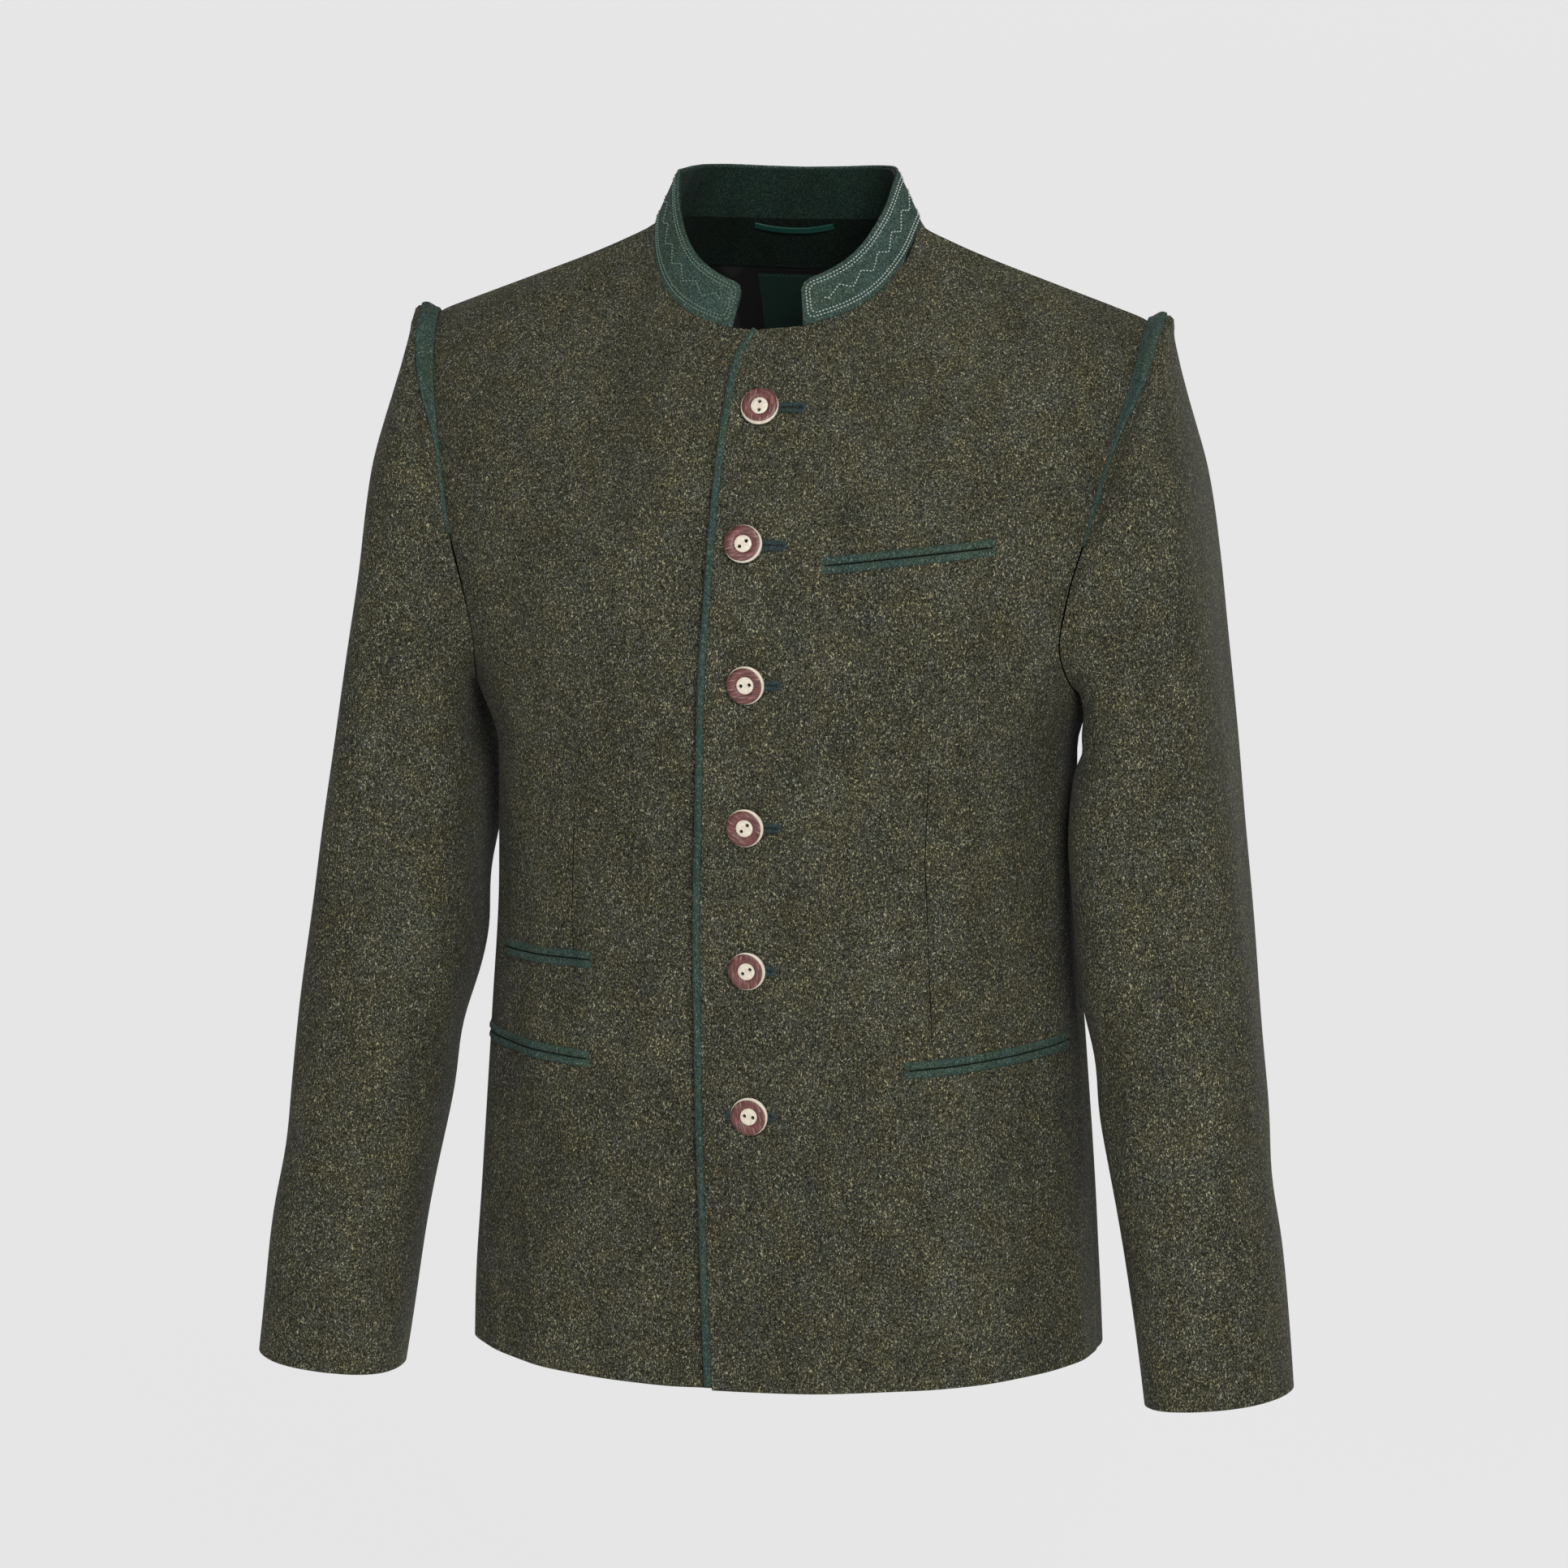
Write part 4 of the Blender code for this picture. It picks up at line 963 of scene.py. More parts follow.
def mixed(tree, share, one, other, kind="MIX"):
    """Two colours mixed by a share. Each may be a socket."""
    made = node(tree, "ShaderNodeMix", data_type="RGBA", blend_type=kind)
    for index, value in ((0, share), (6, one), (7, other)):
        if isinstance(value, bpy.types.NodeSocket):
            tree.links.new(value, made.inputs[index])
        elif index:
            made.inputs[index].default_value = (*value, 1)
        else:
            made.inputs[index].default_value = value
    return made.outputs[2]


def sums(tree, kind, *values):
    """A calculation with sockets and numbers."""
    made = node(tree, "ShaderNodeMath", operation=kind)
    for index, value in enumerate(values):
        if isinstance(value, bpy.types.NodeSocket):
            tree.links.new(value, made.inputs[index])
        else:
            made.inputs[index].default_value = value
    return made.outputs[0]


def surface(name, roughness, sheen=0.0, sheen_roughness=0.5, specular=0.3):
    """A new material with its tree, its shader and its place coordinates in metres."""
    made = bpy.data.materials.new(name)
    made.use_nodes = True
    tree = made.node_tree
    shader = tree.nodes["Principled BSDF"]
    shader.inputs["Roughness"].default_value = roughness
    shader.inputs["Specular IOR Level"].default_value = specular
    shader.inputs["Sheen Weight"].default_value = sheen
    shader.inputs["Sheen Roughness"].default_value = sheen_roughness
    place = node(tree, "ShaderNodeTexCoord").outputs["Object"]
    return made, tree, shader, place


def relief_of(tree, shader, height, strength, distance):
    bump = node(tree, "ShaderNodeBump", {"Strength": strength, "Distance": distance, "Height": height})
    tree.links.new(bump.outputs["Normal"], shader.inputs["Normal"])


def fibres(tree, place, shift, scale, width, share):
    """Thin curved hairs: short pieces of the lines along which a noise crosses its middle value."""
    moved = mapped(tree, place, Location=shift)
    line = noise(tree, moved, scale, 1.0, 0.4, 0.5)
    off = sums(tree, "ABSOLUTE", sums(tree, "SUBTRACT", line, 0.5))
    thin = ramp(tree, off, ((0.0, (1.0,)), (width, (0.0,))))
    pieces = ramp(tree, noise(tree, moved, scale * 1.7, 1.0), ((share, (0.0,)), (share + 0.05, (1.0,))))
    return sums(tree, "MULTIPLY", thin, pieces)


def woollen(name, dark, middle, light, hairs, mottle, scale=1300, sheen=0.05, depth=0.0004):
    """Milled wool or felt: a melange of dark and light fibre with a short nap."""
    made, tree, shader, place = surface(name, 0.95, sheen, 0.35, 0.08)
    down = mapped(tree, place, Scale=(1, 1, 0.62))
    grain = noise(tree, down, scale, 4.0, 0.72, 0.25)
    colour = ramp(tree, grain, ((0.34, dark), (0.52, middle), (0.68, light)))
    height = grain
    for hair_colour, shift, hair_scale, width, share, strength in hairs:
        hair = fibres(tree, down, shift, hair_scale, width, share)
        colour = mixed(tree, sums(tree, "MULTIPLY", hair, strength), colour, hair_colour)
        height = sums(tree, "ADD", height, sums(tree, "MULTIPLY", hair, 0.5))
    streaky = mapped(tree, place, Scale=(1, 1, 0.45))
    cloud = noise(tree, streaky, 38, 3.0, 0.55)
    low, high = mottle
    colour = mixed(tree, 1.0, colour, ramp(tree, cloud, ((0.3, (low,)), (0.7, (high,)))), "MULTIPLY")
    patches = noise(tree, mapped(tree, place, Location=(4, 9, 2)), 55, 2.0)
    hue = ramp(tree, patches, ((0.32, (1.04, 1.00, 0.90)), (0.68, (0.955, 0.985, 1.08))))
    colour = mixed(tree, 1.0, colour, hue, "MULTIPLY")
    tree.links.new(colour, shader.inputs["Base Color"])
    relief_of(tree, shader, height, 0.6, depth)
    return made


def satin(name, colour, figure, scale, roughness=0.38):
    """Smooth woven satin: a fine rib, and a faint repeat of leaves where the figure says so."""
    made, tree, shader, place = surface(name, roughness, 0.0, 0.3, 0.30)
    turned = mapped(tree, place, Scale=(1, 0.4, 0.55))
    leaf = node(tree, "ShaderNodeTexVoronoi", {"Vector": turned, "Scale": scale}, feature="F1")
    mask = ramp(tree, leaf.outputs["Distance"], ((0.30, (1.0,)), (0.36, (0.0,))))
    lighter = tuple(c * figure for c in colour)
    tree.links.new(mixed(tree, mask, colour, lighter), shader.inputs["Base Color"])
    relief_of(tree, shader, noise(tree, place, 2400, 1.0), 0.2, 0.0002)
    return made


def thread(name, left_colour, right_colour):
    """Twisted sewing thread, paler on the wearer's left half of the garment."""
    made, tree, shader, place = surface(name, 0.6, 0.2, 0.4, 0.3)
    x = node(tree, "ShaderNodeSeparateXYZ", {"Vector": place}).outputs["X"]
    across = sums(tree, "ADD", sums(tree, "MULTIPLY", x, 8.0), 0.5)
    share = ramp(tree, across, ((0.35, (0.0,)), (0.65, (1.0,))))
    twist = noise(tree, place, 2600, 1.0)
    colour = mixed(tree, share, right_colour, left_colour)
    colour = mixed(tree, 1.0, colour, ramp(tree, twist, ((0.3, (0.6,)), (0.7, (1.0,)))), "MULTIPLY")
    tree.links.new(colour, shader.inputs["Base Color"])
    relief_of(tree, shader, twist, 0.4, 0.0002)
    return made


def woven_label():
    """A plain woven label: fine twill lines on dark green."""
    made, tree, shader, place = surface("woven_label", 0.55, 0.15, 0.4, 0.3)
    inputs = {"Vector": place, "Scale": 520.0, "Distortion": 0.5}
    twill = node(tree, "ShaderNodeTexWave", inputs, bands_direction="DIAGONAL").outputs["Fac"]
    colour = ramp(tree, twill, ((0.2, (0.001, 0.009, 0.006)), (0.8, (0.003, 0.020, 0.013))))
    tree.links.new(colour, shader.inputs["Base Color"])
    relief_of(tree, shader, twill, 0.4, 0.0002)
    return made


def horn(number, streak, lean):
    """A button's imitation horn: an ivory middle and edge, and a ring of red-brown bark with streaks."""
    made, tree, shader, place = surface(f"button_horn_{number}", 0.42, 0.0, 0.5, 0.5)
    turn = math.radians(streak)
    turned = mapped(tree, place, Rotation=(0, 0, -turn))
    drawn = mapped(tree, turned, Scale=(0.10, 1, 0.2))
    band = noise(tree, drawn, 1500, 3.0, 0.7, 0.2)
    bark = ramp(
        tree,
        band,
        (
            (0.34, (0.026, 0.012, 0.010)),
            (0.43, (0.115, 0.016, 0.015)),
            (0.50, (0.080, 0.040, 0.034)),
            (0.57, (0.170, 0.045, 0.036)),
            (0.68, (0.340, 0.250, 0.220)),
        ),
    )
    grain = noise(tree, place, 500, 2.0)
    ivory = ramp(tree, grain, ((0.3, (0.560, 0.500, 0.400)), (0.7, (0.700, 0.645, 0.530))))
    aside = (RING_OFFSET * math.cos(math.radians(lean)), RING_OFFSET * math.sin(math.radians(lean)), 0)
    shifted = mapped(tree, place, Location=aside, Scale=(1, 1, 0))
    reach = node(tree, "ShaderNodeVectorMath", {0: shifted}, operation="LENGTH").outputs["Value"]
    level = mapped(tree, place, Scale=(1, 1, 0))
    inner = node(tree, "ShaderNodeVectorMath", {0: level}, operation="LENGTH").outputs["Value"]
    edge = ramp(tree, sums(tree, "MULTIPLY", reach, 50.0), ((0.540, (0.0,)), (0.552, (1.0,))))
    centre = ramp(tree, sums(tree, "MULTIPLY", inner, 100.0), ((0.508, (1.0,)), (0.520, (0.0,))))
    ivory_share = sums(tree, "MAXIMUM", edge, centre)
    tree.links.new(mixed(tree, ivory_share, bark, ivory), shader.inputs["Base Color"])
    relief_of(tree, shader, band, 0.35, 0.0003)
    return made


def row_spacing(grid):
    """The longest row and the longest column of a grid of points, and its area."""
    across = np.linalg.norm(np.diff(grid, axis=1), axis=-1).sum(1).max()
    down = np.linalg.norm(np.diff(grid, axis=0), axis=-1).sum(0).max()
    one = np.cross(grid[:-1, 1:] - grid[:-1, :-1], grid[1:, :-1] - grid[:-1, :-1])
    two = np.cross(grid[:-1, 1:] - grid[1:, 1:], grid[1:, :-1] - grid[1:, 1:])
    area = (np.linalg.norm(one, axis=-1).sum() + np.linalg.norm(two, axis=-1).sum()) / 2
    return across, down, area


def cloth(piece, grid, nodes):
    """Attaches a cloth piece to the root and hides its solids. Its flat size and area are worked out from its
    own outer face, but not used.

    Narrow trim is cut at least TRIM_CUT wide, and its area is at least TRIM_SHARE of the cut.
    """
    across, down, area = row_spacing(grid)
    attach(piece, "root")
    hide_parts(*nodes)
    flat = tuple(max(round(float(length), 3), TRIM_CUT) for length in (across, down))
    area = float(np.clip(area, TRIM_SHARE * flat[0] * flat[1], flat[0] * flat[1]))
    return piece


def detail(piece, slot):
    """Attaches a piece that stands for no solid to the root."""
    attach(piece, "root")
    return piece


def make_fronts(loden, inside):
    for side in (1, -1):
        outer, normal = front_grid(side)
        mirror = mirrored(side)
        name = "front_" + SIDE_NAME[side]
        free = ("top", "bottom", "first") if side < 0 else ("bottom",)
        inner = outer - normal * CLOTH
        made = shell(name + "_cloth", outer * mirror, inner * mirror, [loden, inside], free)
        cloth(made, outer, [name])


def make_back(loden, inside):
    outer, normal = back_grid(True)
    made = shell("back_cloth", outer, outer - normal * CLOTH, [loden, inside], ("bottom",))
    cloth(made, outer, ["back"])


def make_sleeves(loden, inside, felt):
    for side in (1, -1):
        grid = sleeve_grid(SLEEVE_ROWS, SLEEVE_COLUMNS)
        normal = normals_of(grid, wraps=True)
        normal = normal * np.sign(normal[SLEEVE_ROWS // 2, 0, 0])
        way = np.linspace(0, 1, SLEEVE_ROWS + 1)[:, None] ** SLEEVE_PITCH
        turn = np.linspace(0, 360, SLEEVE_COLUMNS, endpoint=False)[None, :]
        outward = np.cos(np.radians(turn))
        head = smooth_step(way / 0.02) * bell((way - 0.03) / 0.04) * np.maximum(outward, 0)
        body_side = INNER_FULLNESS[side] * bell((way - 0.51) / 0.27) * np.maximum(-outward, 0)
        grid = grid + normal * (HEAD_FULLNESS * head + body_side)[..., None]
        smooth = grid.copy()
        deep = creases(SLEEVE_CREASES[side], way, turn, wraps=True)
        deep = deep + 0.0004 * np.sin(np.radians(turn) * 5 + 14 * way) * np.sin(23 * way + 1)
        grid = grid - normal * (deep * smooth_step((way - 0.04) / 0.1))[..., None]
        inner = grid - normal * CLOTH
        mirror = mirrored(side)
        first, last = TOP_SLEEVE
        parts = {
            "sleeve_top_": np.arange(first, last + 1) % SLEEVE_COLUMNS,
            "sleeve_under_": np.arange(last, SLEEVE_COLUMNS + first + 1) % SLEEVE_COLUMNS,
        }
        for start, columns in parts.items():
            name = start + SIDE_NAME[side]
            outside, within = grid[:, columns], inner[:, columns]
            seams = SIDE_SEAMS + [((0, slice(None)), 1.0), ((1, slice(None)), 0.3)]
            outside = dropped_seams(outside, normal[:, columns], seams)
            made = shell(name + "_cloth", outside * mirror, within * mirror, [loden, inside], ("bottom",))
            cloth(made, outside, [name])
        make_leaf(side, smooth, normal, felt)


def make_leaf(side, grid, normal, felt):
    """The leaf of green felt over the armhole seam."""
    count = 61
    columns = np.linspace(-PIPING_REACH, PIPING_REACH, count)
    fullness = np.sin(np.pi * np.linspace(0, 1, count))
    width = LEAF_TIP + (LEAF_WIDTH - 0.0012) * smooth_step((fullness - 0.55) / 0.42)
    steps = np.linspace(0, 1, 9)
    near = 25
    spots = np.empty((len(steps), count, 3))
    lifts = np.empty_like(spots)
    for i, column in enumerate(columns):
        low = math.floor(column)
        part = column - low
        pair = [low % SLEEVE_COLUMNS, (low + 1) % SLEEVE_COLUMNS]
        line = grid[:near, pair[0]] * (1 - part) + grid[:near, pair[1]] * part
        lift = normal[:near, pair[0]] * (1 - part) + normal[:near, pair[1]] * part
        lengths = line_lengths(line)
        wanted = 0.0006 + width[i] * steps
        for k in range(3):
            spots[:, i, k] = np.interp(wanted, lengths, line[:, k])
            lifts[:, i, k] = np.interp(wanted, lengths, lift[:, k])
    lifts = unit(lifts)
    spots[0] = spots[0] + unit(spots[0] - spots[1]) * LEAF_TUCK
    crown = 0.0009 + LEAF_CROWN * np.sin(np.pi * steps)[:, None, None] ** 0.7
    crown = crown * (0.25 + 0.75 * smooth_step((width - 0.0012) / 0.002))[None, :, None]
    over = (spots + lifts * (PIPING_LIFT + crown)) * mirrored(side)
    under = (spots + lifts * SEAM) * mirrored(side)
    name = "armhole_piping_" + SIDE_NAME[side]
    made = shell(name + "_felt", over, under, [felt], ("top", "bottom"), 0.0002)
    cloth(made, over, [name])


def make_collar(felt, shaded, pale):
    grid = collar_grids(201, 14)
    grid[-1, :, 2] -= COLLAR_RISE - SEAM
    normal = normals_of(grid)
    middle = grid.shape[1] // 2
    normal = normal * np.sign(normal[1, middle, 1])
    edges = ("top", "first", "last")
    made = shell("collar_felt", grid, grid - normal * FELT, [felt], edges, 0.0005)
    cloth(made, grid, ["collar"])
    inner = drawn_in(grid, 0.0008) - normal * (FELT + SEAM)
    inner[-1] = inner[-1] + unit(inner[-1] - inner[-2]) * INNER_COLLAR_REACH
    # the inner collar takes the darker copy of the felt: painted shade
    made = shell("collar_inner_felt", inner, inner - normal * FELT, [shaded], edges, 0.0004)
    cloth(made, inner, ["collar_inner"])
    points, faces = joined(collar_stitching(grid, normal))
    detail(built("collar_stitching", points, faces, [pale]), "felt")


def collar_stitching(grid, normal):
    """Two rows of stitches round the collar and a pointed wave between them."""
    rows, columns = grid.shape[0] - 1, grid.shape[1] - 1
    length = line_lengths(grid[rows // 2])[-1]
    sewn = [rounded_outline(length, inset) for inset in SEWN_INSETS]
    across = np.linspace(WAVE_END, length - WAVE_END, 900)
    phase = (across - WAVE_END) / WAVE_PITCH
    point = 2 / np.pi * np.arcsin(0.97 * np.sin(2 * np.pi * phase))
    sewn.append(np.column_stack([across, SEWN_HEIGHT / 2 + WAVE_HALF_HEIGHT * point]))
    parts = []
    for outline in sewn:
        fine = along_line(outline, 1400)
        column = fine[:, 0] / length * columns
        row = rows * (1 - np.clip(fine[:, 1] / SEWN_HEIGHT, 0, 1))
        path = between(grid, row, column)
        up = between(normal, row, column)
        parts += stitches(path + up * 0.0001, up, *COLLAR_STITCH)
    return parts


def rounded_outline(length, inset):
    """A closed line with round corners on the unrolled collar, at an inset from its edges."""
    left, right = inset + SEWN_CORNER, length - inset - SEWN_CORNER
    low, high = inset + SEWN_CORNER, SEWN_HEIGHT - inset - SEWN_CORNER
    start = (left, inset)
    outline = [start]
    for s, t, quarter in ((right, low, 0), (right, high, 90), (left, high, 180), (left, low, 270)):
        for a in np.radians(np.linspace(-90, 0, 7) + quarter):
            outline.append((s + SEWN_CORNER * math.cos(a), t + SEWN_CORNER * math.sin(a)))
    return np.array(outline + [start])


def stations(first, last):
    """Both ends and every whole number between them."""
    return np.array([first, *range(math.floor(first) + 1, math.ceil(last)), last], float)


def inside_back(name, row_span, column_span, depth, thickness, finish, free=()):
    """A piece on the back's inner side, made from the back's own points."""
    grid, normal = back_grid()
    columns, rows = np.meshgrid(stations(*column_span), stations(*row_span))
    inward = -unit(between(normal, rows, columns))
    face = between(grid, rows, columns) + inward * (CLOTH + depth)
    return shell(name, face, face + inward * thickness, [finish], free, thickness / 3), face


def make_inside(felt, lining, label, loop, sewing):
    middle = BACK_COLUMNS // 2
    reach = round(middle * NECK_SHARE) - 1
    span = (middle - reach, middle + reach)
    rows = (-0.28, 4.1)
    # the facing takes the green felt darkened as painted shade
    made, face = inside_back("neck_facing_felt", rows, span, FACING_GAP, LINING, felt, ("top", "bottom"))
    cloth(made, face, ["neck_facing"])
    made, face = inside_back("back_lining_satin", (3, 36), (4, BACK_COLUMNS - 4), SEAM, LINING, lining)
    cloth(made, face, ["back_lining"])
    span = (middle - 8, middle + 4)
    depth = 2 * SEAM + LINING
    made, face = inside_back("neck_label_woven", (4.8, 10.8), span, depth, LABEL, label, ("bottom",))
    cloth(made, face, ["neck_label"])
    grid, normal = back_grid()
    make_loop(grid, normal, middle, loop)
    parts = []
    edge = np.linspace(*span, 60)
    for row in (4.95, 10.6):
        line_rows = np.full(len(edge), row)
        inward = -unit(between(normal, line_rows, edge))
        path = between(grid, line_rows, edge) + inward * (CLOTH + depth + LABEL)
        parts += stitches(path, inward, *LABEL_STITCH)
    points, faces = joined(parts)
    detail(built("label_stitching", points, faces, [sewing]), "label")


def make_loop(grid, normal, middle, finish):
    """The hanger loop: its ends lie on the facing, and it stands off a little between them."""
    steps = np.linspace(-1, 1, 41)
    slack = 1 - steps * steps
    rows = 0.30 + 0.28 * slack
    columns = middle - 2 + 5.2 * steps
    inward = -unit(between(normal, rows, columns))
    off = CLOTH + FACING_GAP + LINING + 0.0005 + LOOP_SLACK * slack
    centre = between(grid, rows, columns) + inward * off[:, None]
    made = strip("hanger_loop_satin", centre, inward, LOOP_HALF_WIDTH, 0, 0.0008, finish, 8, 0.6)
    face = np.stack([centre - [0, 0, LOOP_HALF_WIDTH], centre + [0, 0, LOOP_HALF_WIDTH]])
    cloth(made, face, ["hanger_loop"])


def make_edge_piping(felt):
    curved = np.linspace(-0.0612, -0.10, 24)
    heights = np.concatenate([curved, np.linspace(-0.10, HEM_CENTRE + 0.002, 120)[1:]])
    places = left_edge(heights) + PIPING_WIDTH / 2
    spot, normal = on_front(places, heights, 1)
    half, height = PIPING_WIDTH * PIPING_HALF_SHARE, CLOTH + PIPING_LIFT
    made = strip("edge_piping_felt", spot - normal * CLOTH, normal, half, 0, height, felt, 12)
    face = np.stack([spot - [PIPING_WIDTH / 2, 0, 0], spot + [PIPING_WIDTH / 2, 0, 0]])
    cloth(made, face, ["edge_piping"])


def make_pockets(felt, dark):
    for name, (side, near_x, near_z, far_x, far_z) in POCKETS.items():
        z = np.linspace(near_z, far_z, 61)
        angle = np.linspace(angle_at(near_x, near_z), angle_at(far_x, far_z), 61)
        x = torso_point(angle, z)[:, 0]
        for part, up in (("upper", 1), ("lower", -1)):
            spot, normal = on_front(x, z + up * (WELT + WELT_SLIT) / 2, side)
            full = f"{name}_{part}_welt"
            from_end = np.linalg.norm(spot - spot[0], axis=1)
            from_end = np.minimum(from_end, from_end[-1] - from_end)
            tall = WELT_END + WELT_CROWN * smooth_step(from_end / WELT_TAPER)
            made = strip(full + "_felt", spot, normal, WELT / 2, 0.0001, tall, felt, 12)
            face = np.stack([spot - [0, 0, WELT / 2], spot + [0, 0, WELT / 2]])
            cloth(made, face, [full])
        spot, normal = on_front(x, z, side)
        # a near-black strip along the slit between the welts: painted shade of the pocket's opening
        slit_shade = strip(name + "_mouth", spot[1:-1], normal[1:-1], 0.0012, 0.0001, 0.0003, dark, 6, 0.5)
        detail(slit_shade, "lining")


def make_darts(seam):
    for side in (1, -1):
        top, bottom = DARTS[side][0][0], DARTS[side][-1][0]
        z = np.linspace(top, bottom, 80)
        x = dart_line(z, side)
        spot, normal = on_front(x, z, side)
        taper = 0.00045 * np.sqrt(np.clip(np.linspace(0, 8, 80), 0.1, 1))
        made = strip("dart_seam_" + SIDE_NAME[side], spot, normal, taper, -0.0002, 0.0003, seam, 6)
        detail(made, "loden")


def make_buttonholes(cord):
    """Corded buttonholes: a ribbed cord in a narrow loop, low under the button and fuller beyond it."""
    for number, (middle, height, _, reach) in enumerate(BUTTONS, 1):
        near, far = middle + reach - BUTTONHOLE_LENGTH + 0.0024, middle + reach - 0.0020
        half = CORD_LOOP_HALF
        turn = np.radians(np.linspace(90, -90, 13))
        loop = [(far + half * math.cos(a), half * math.sin(a)) for a in turn]
        loop += [(near - half * math.cos(a), -half * math.sin(a)) for a in turn]
        line = along_line(np.array(loop + loop[:1]), 331)[:-1]
        x, z = line[:, 0], height + line[:, 1]
        spot, normal = on_front(x, z, 1)
        way = np.roll(spot, -1, axis=0) - np.roll(spot, 1, axis=0)
        across = unit(np.cross(normal, way))
        rib = 1 + 0.24 * np.sin(np.arange(len(x)) * 2 * np.pi * CORD_RIBS / len(x))
        beyond = smooth_step((np.hypot(x - middle, z - height) - BUTTON_RADIUS - 0.0002) / 0.002)
        tall = (CORD_LOW + CORD_FULLER * beyond) * rib
        wide = CORD_HALF_WIDTH * rib
        points, faces = tube(spot + normal * (0.0002 + tall)[:, None], across, normal, wide, tall, True)
        name = f"buttonhole_{number}"
        made = built(name + "_cord", points, faces, [cord])
        face = np.stack([spot - across * 0.0015, spot + across * 0.0015])
        cloth(made, face, [name])


def button_mesh():
    """A turned button with two holes: a flat middle, a groove, a raised ring and a thin rim below it."""
    profile = (
        (0.0000, 0.0030),
        (0.0030, 0.0030),
        (0.0046, 0.00305),
        (0.0050, 0.0028),
        (0.0053, 0.0028),
        (0.0057, 0.0034),
        (0.0063, 0.0037),
        (0.0090, 0.0037),
        (0.0099, 0.0035),
        (0.0106, 0.0030),
        (0.0110, 0.0024),
        (0.01145, 0.0020),
        (BUTTON_RADIUS, 0.0014),
        (0.0112, 0.0006),
        (0.0104, 0.0000),
        (0.0000, 0.0000),
    )
    segments = 72
    turn = np.linspace(0, 2 * np.pi, segments, endpoint=False)
    points = [(0, 0, profile[0][1])]
    for r, z in profile[1:-1]:
        points += [(r * math.cos(a), r * math.sin(a), z) for a in turn]
    points.append((0, 0, profile[-1][1]))
    faces = [(0, 1 + k, 1 + (k + 1) % segments) for k in range(segments)]
    rings = len(profile) - 2
    for j in range(rings - 1):
        for k in range(segments):
            a, b = 1 + j * segments + k, 1 + j * segments + (k + 1) % segments
            faces.append((a, a + segments, b + segments, b))
    start, last = 1 + (rings - 1) * segments, len(points) - 1
    faces += [(last, start + (k + 1) % segments, start + k) for k in range(segments)]
    blank = built("button_blank", points, faces, [], sharp=35)
    sides = 20
    pins = []
    for side in (-1, 1):
        middle = side * HOLE_SPACING / 2
        ring = np.linspace(0, 2 * np.pi, sides, endpoint=False)
        circle = np.column_stack([middle + HOLE_RADIUS * np.cos(ring), HOLE_RADIUS * np.sin(ring)])
        pin = np.vstack([np.column_stack([circle, np.full(sides, z)]) for z in (-0.002, 0.006)])
        ends = [tuple(range(sides - 1, -1, -1)), tuple(range(sides, 2 * sides))]
        wall = [(k, (k + 1) % sides, sides + (k + 1) % sides, sides + k) for k in range(sides)]
        pins.append((pin, ends + wall))
    points, faces = joined(pins)
    drill = built("button_drill", points, faces, [])
    cut = blank.modifiers.new("holes", "BOOLEAN")
    cut.operation = "DIFFERENCE"
    cut.object = drill
    graph = bpy.context.evaluated_depsgraph_get()
    drilled = bpy.data.meshes.new_from_object(blank.evaluated_get(graph))
    bpy.data.objects.remove(blank)
    bpy.data.objects.remove(drill)
    drilled.shade_smooth()
    drilled.set_sharp_from_angle(angle=math.radians(35))
    return drilled


def make_buttons():
    shape = button_mesh()
    for number, ((x, height, turn, _), (streak, lean)) in enumerate(zip(BUTTONS, BUTTON_LOOKS), 1):
        spot, normal = front_surface(np.array([x]), np.array([height]), 1)
        up = normal[0]
        beside = x + np.linspace(-BUTTON_RADIUS, BUTTON_RADIUS, 9)
        line = front_surface(beside, np.full(9, height), 1)[0]
        right = unit(np.cross((0, 0, 1), up))
        above = np.cross(up, right)
        angle = math.radians(turn)
        first = right * math.cos(angle) + above * math.sin(angle)
        second = np.cross(up, first)
        place = spot[0] + up * (BUTTONHOLE_HEIGHT + 2 * SEAM + max((line - spot) @ up))
        mesh = shape.copy()
        mesh.materials.clear()
        mesh.materials.append(horn(number, streak - turn, lean - turn))
        made = placed(f"button_{number}_horn", mesh)
        rows = [(first[k], second[k], up[k], place[k]) for k in range(3)]
        made.matrix_world = Matrix(rows + [(0, 0, 0, 1)])
        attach(made, "root")
        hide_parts(f"button_{number}")


def make_stage():
    """A pale floor that sweeps up into the backdrop."""
    floor_z, back_y, sweep = -1.15, 3.2, 1.6
    turn = np.linspace(0, np.pi / 2, 24)
    curve = [(back_y + sweep * math.sin(a), floor_z + sweep * (1 - math.cos(a))) for a in turn]
    line = [(-9.0, floor_z), *curve, (back_y + sweep, 9.0)]
    points = [(x, y, z) for y, z in line for x in (-12, 12)]
    faces = [(2 * k, 2 * k + 1, 2 * k + 3, 2 * k + 2) for k in range(len(line) - 1)]
    mesh = bpy.data.meshes.new("floor_sweep")
    mesh.from_pydata(points, [], faces)
    mesh.shade_smooth()
    pale = bpy.data.materials.new("pale_floor")
    pale.use_nodes = True
    shader = pale.node_tree.nodes["Principled BSDF"]
    shader.inputs["Base Color"].default_value = (0.10, 0.10, 0.10, 1)
    shader.inputs["Roughness"].default_value = 1.0
    shader.inputs["Specular IOR Level"].default_value = 0.0
    shader.inputs["Emission Color"].default_value = (1, 1, 1, 1)
    shader.inputs["Emission Strength"].default_value = STAGE_GLOW
    mesh.materials.append(pale)
    placed("floor_sweep", mesh)


def soft_light(name, place, target, size, power):
    light = bpy.data.lights.new(name, "AREA")
    light.shape = "SQUARE"
    light.size = size
    light.energy = power
    made = placed(name, light)
    made.location = place
    made.rotation_euler = (Vector(target) - Vector(place)).to_track_quat("-Z", "Y").to_euler()


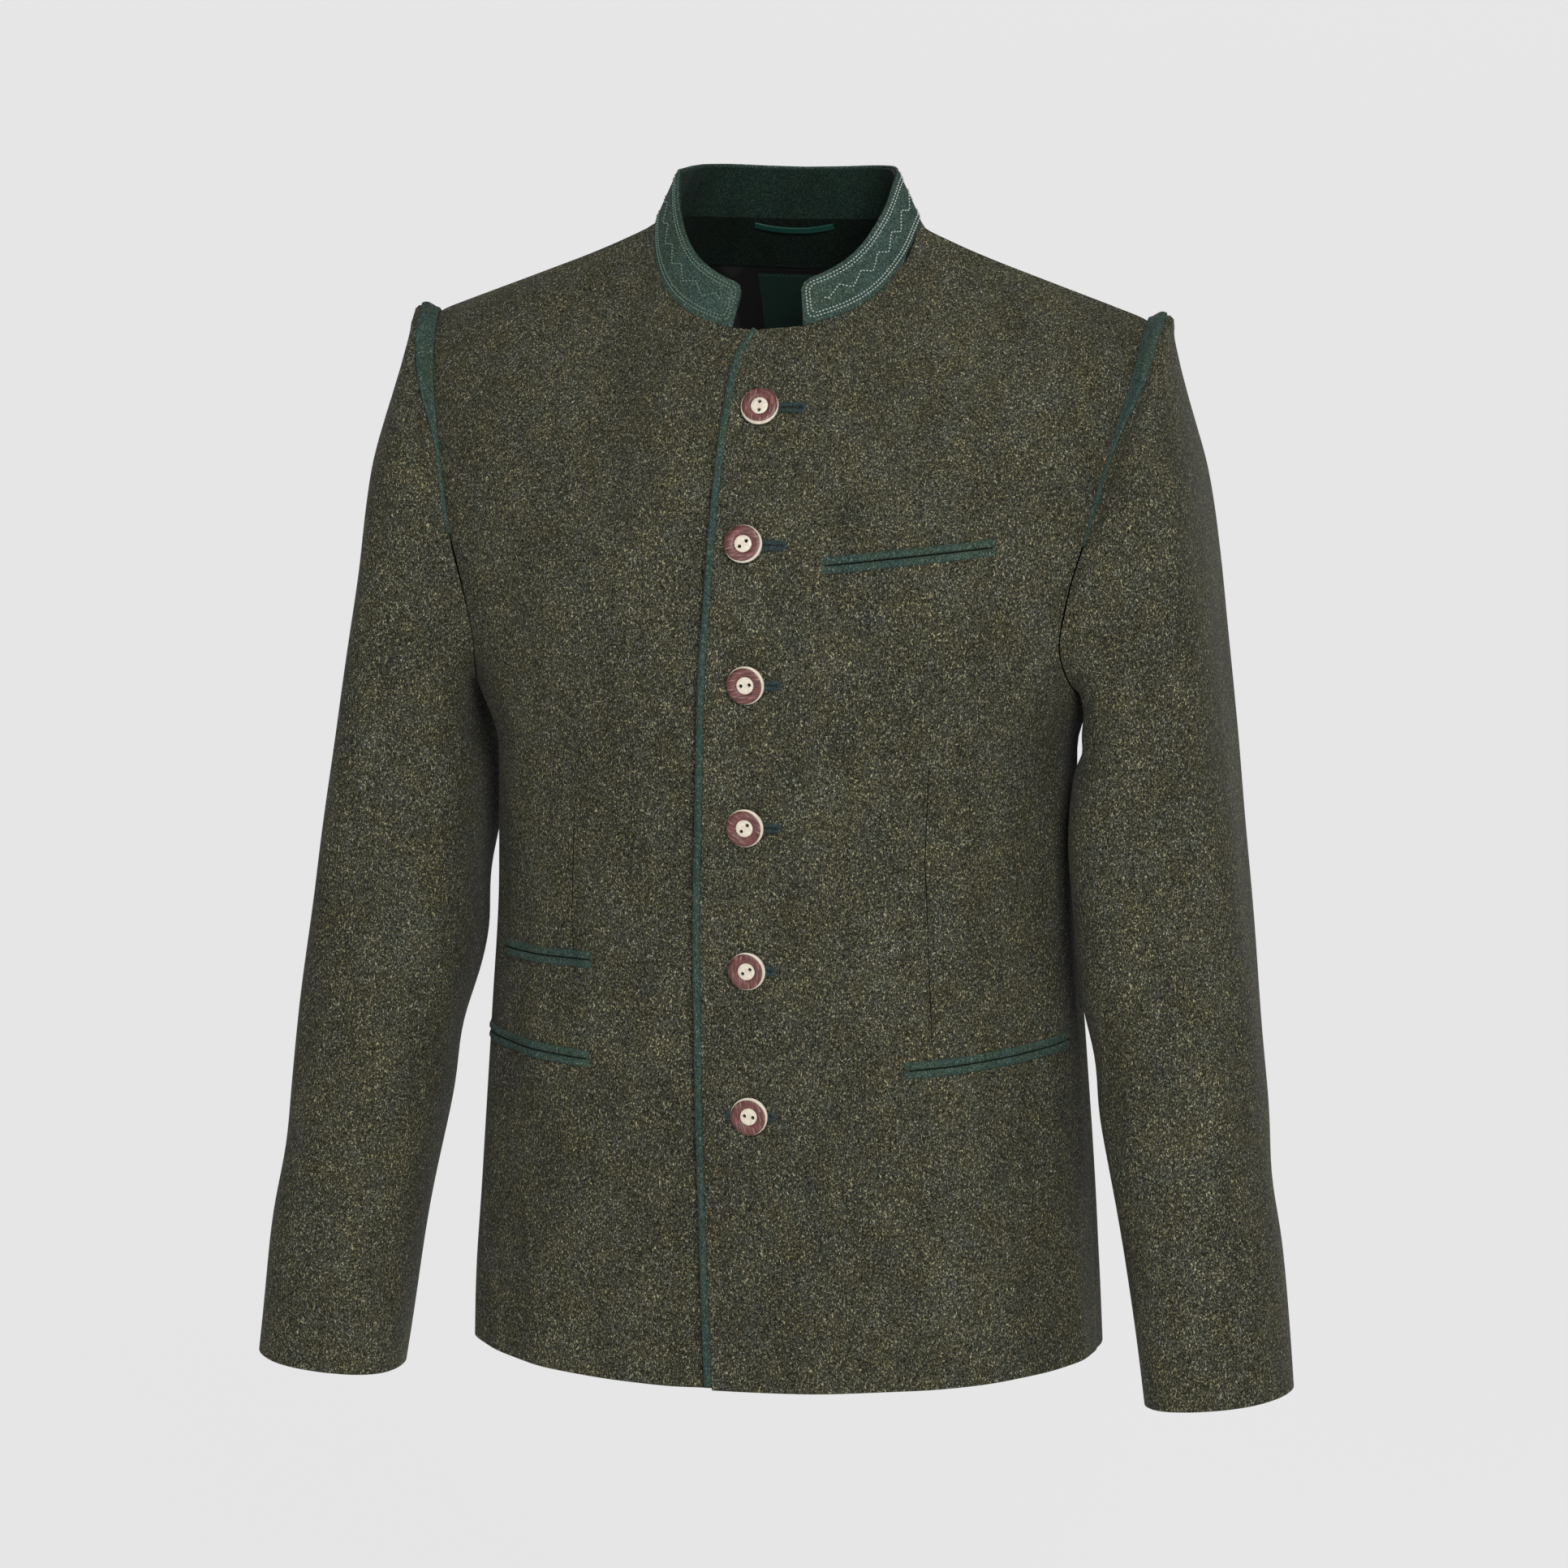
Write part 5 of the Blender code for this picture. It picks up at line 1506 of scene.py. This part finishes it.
def make_studio():
    make_stage()
    for name, place, size, power in LIGHTS:
        soft_light(name, place, (0, 0, -0.3), size, power)
    world = bpy.data.worlds.new("studio")
    world.use_nodes = True
    background = world.node_tree.nodes["Background"]
    background.inputs["Color"].default_value = (0.80, 0.80, 0.80, 1)
    background.inputs["Strength"].default_value = WORLD_GLOW
    bpy.context.scene.world = world
    data = bpy.data.cameras.new("camera")
    data.lens = CAMERA_LENS
    data.sensor_width = 36
    camera = placed("camera", data)
    a, e = math.radians(CAMERA_AZIMUTH), math.radians(CAMERA_ELEVATION)
    back = Vector((math.sin(a) * math.cos(e), -math.cos(a) * math.cos(e), math.sin(e)))
    camera.location = Vector(CAMERA_TARGET) + back * CAMERA_DISTANCE
    camera.rotation_euler = (-back).to_track_quat("-Z", "Y").to_euler()
    bpy.context.scene.camera = camera
    bpy.context.scene.view_settings.view_transform = "Standard"


def main():
    # a melange is its dark, middle and light colour; a hair is colour, shift, scale, width, share, strength
    loden_hairs = (
        ((0.480, 0.440, 0.260), (0, 0, 0), 640, 0.060, 0.555, 0.90),
        ((0.300, 0.320, 0.300), (3, 5, 1), 680, 0.055, 0.58, 0.80),
        ((0.003, 0.003, 0.002), (7, 2, 4), 500, 0.070, 0.51, 0.85),
    )
    loden_melange = ((0.006, 0.006, 0.004), (0.034, 0.034, 0.022), (0.135, 0.133, 0.088))
    loden = woollen("loden", *loden_melange, loden_hairs, (0.82, 1.16))
    felt_hairs = (((0.220, 0.270, 0.235), (1, 3, 2), 560, 0.050, 0.56, 0.7),)
    felt_melange = ((0.009, 0.018, 0.014), (0.031, 0.054, 0.043), (0.095, 0.138, 0.115))
    felt = woollen("green_felt", *felt_melange, felt_hairs, (0.85, 1.12), depth=0.0003)
    # the inner collar's felt: the green felt made darker, as painted shade
    shaded_melange = ((0.003, 0.008, 0.006), (0.011, 0.024, 0.018), (0.036, 0.060, 0.048))
    shaded = woollen("inner_felt_painted_shade", *shaded_melange, (), (0.85, 1.1))
    # the neck facing's felt: the green felt made much darker, as painted shade
    facing_shade_melange = ((0.002, 0.004, 0.003), (0.005, 0.010, 0.007), (0.015, 0.026, 0.019))
    deep = woollen("facing_felt_painted_shade", *facing_shade_melange, (), (0.85, 1.1))
    cord_melange = ((0.010, 0.020, 0.020), (0.034, 0.056, 0.055), (0.110, 0.155, 0.150))
    cord = woollen("teal_cord", *cord_melange, (), (0.9, 1.1), 1600, 0.05, 0.0002)
    seam_melange = ((0.002, 0.002, 0.0015), (0.006, 0.006, 0.004), (0.020, 0.020, 0.014))
    seam = woollen("seam_shadow", *seam_melange, (), (0.9, 1.1), 900, 0.0, 0.0002)
    # the shells' inner faces: the near-black lining's colour, made a little darker than the back lining as
    # painted shade inside the jacket
    inside = satin("inner_lining", (0.0035, 0.0033, 0.0032), 1.5, 46, 0.6)
    lining = satin("lining_satin", (0.0045, 0.0042, 0.0042), 2.6, 46, 0.5)
    loop = satin("loop_satin", (0.002, 0.038, 0.027), 1.0, 300, 0.45)
    pale = thread("collar_thread", (0.480, 0.540, 0.500), (0.150, 0.230, 0.185))
    sewing = thread("label_thread", (0.020, 0.060, 0.045), (0.020, 0.060, 0.045))
    make_fronts(loden, inside)
    make_back(loden, inside)
    make_sleeves(loden, inside, felt)
    make_collar(felt, shaded, pale)
    make_inside(deep, lining, woven_label(), loop, sewing)
    make_edge_piping(felt)
    make_pockets(felt, seam)
    make_darts(seam)
    make_buttonholes(cord)
    make_buttons()
    make_studio()


main()
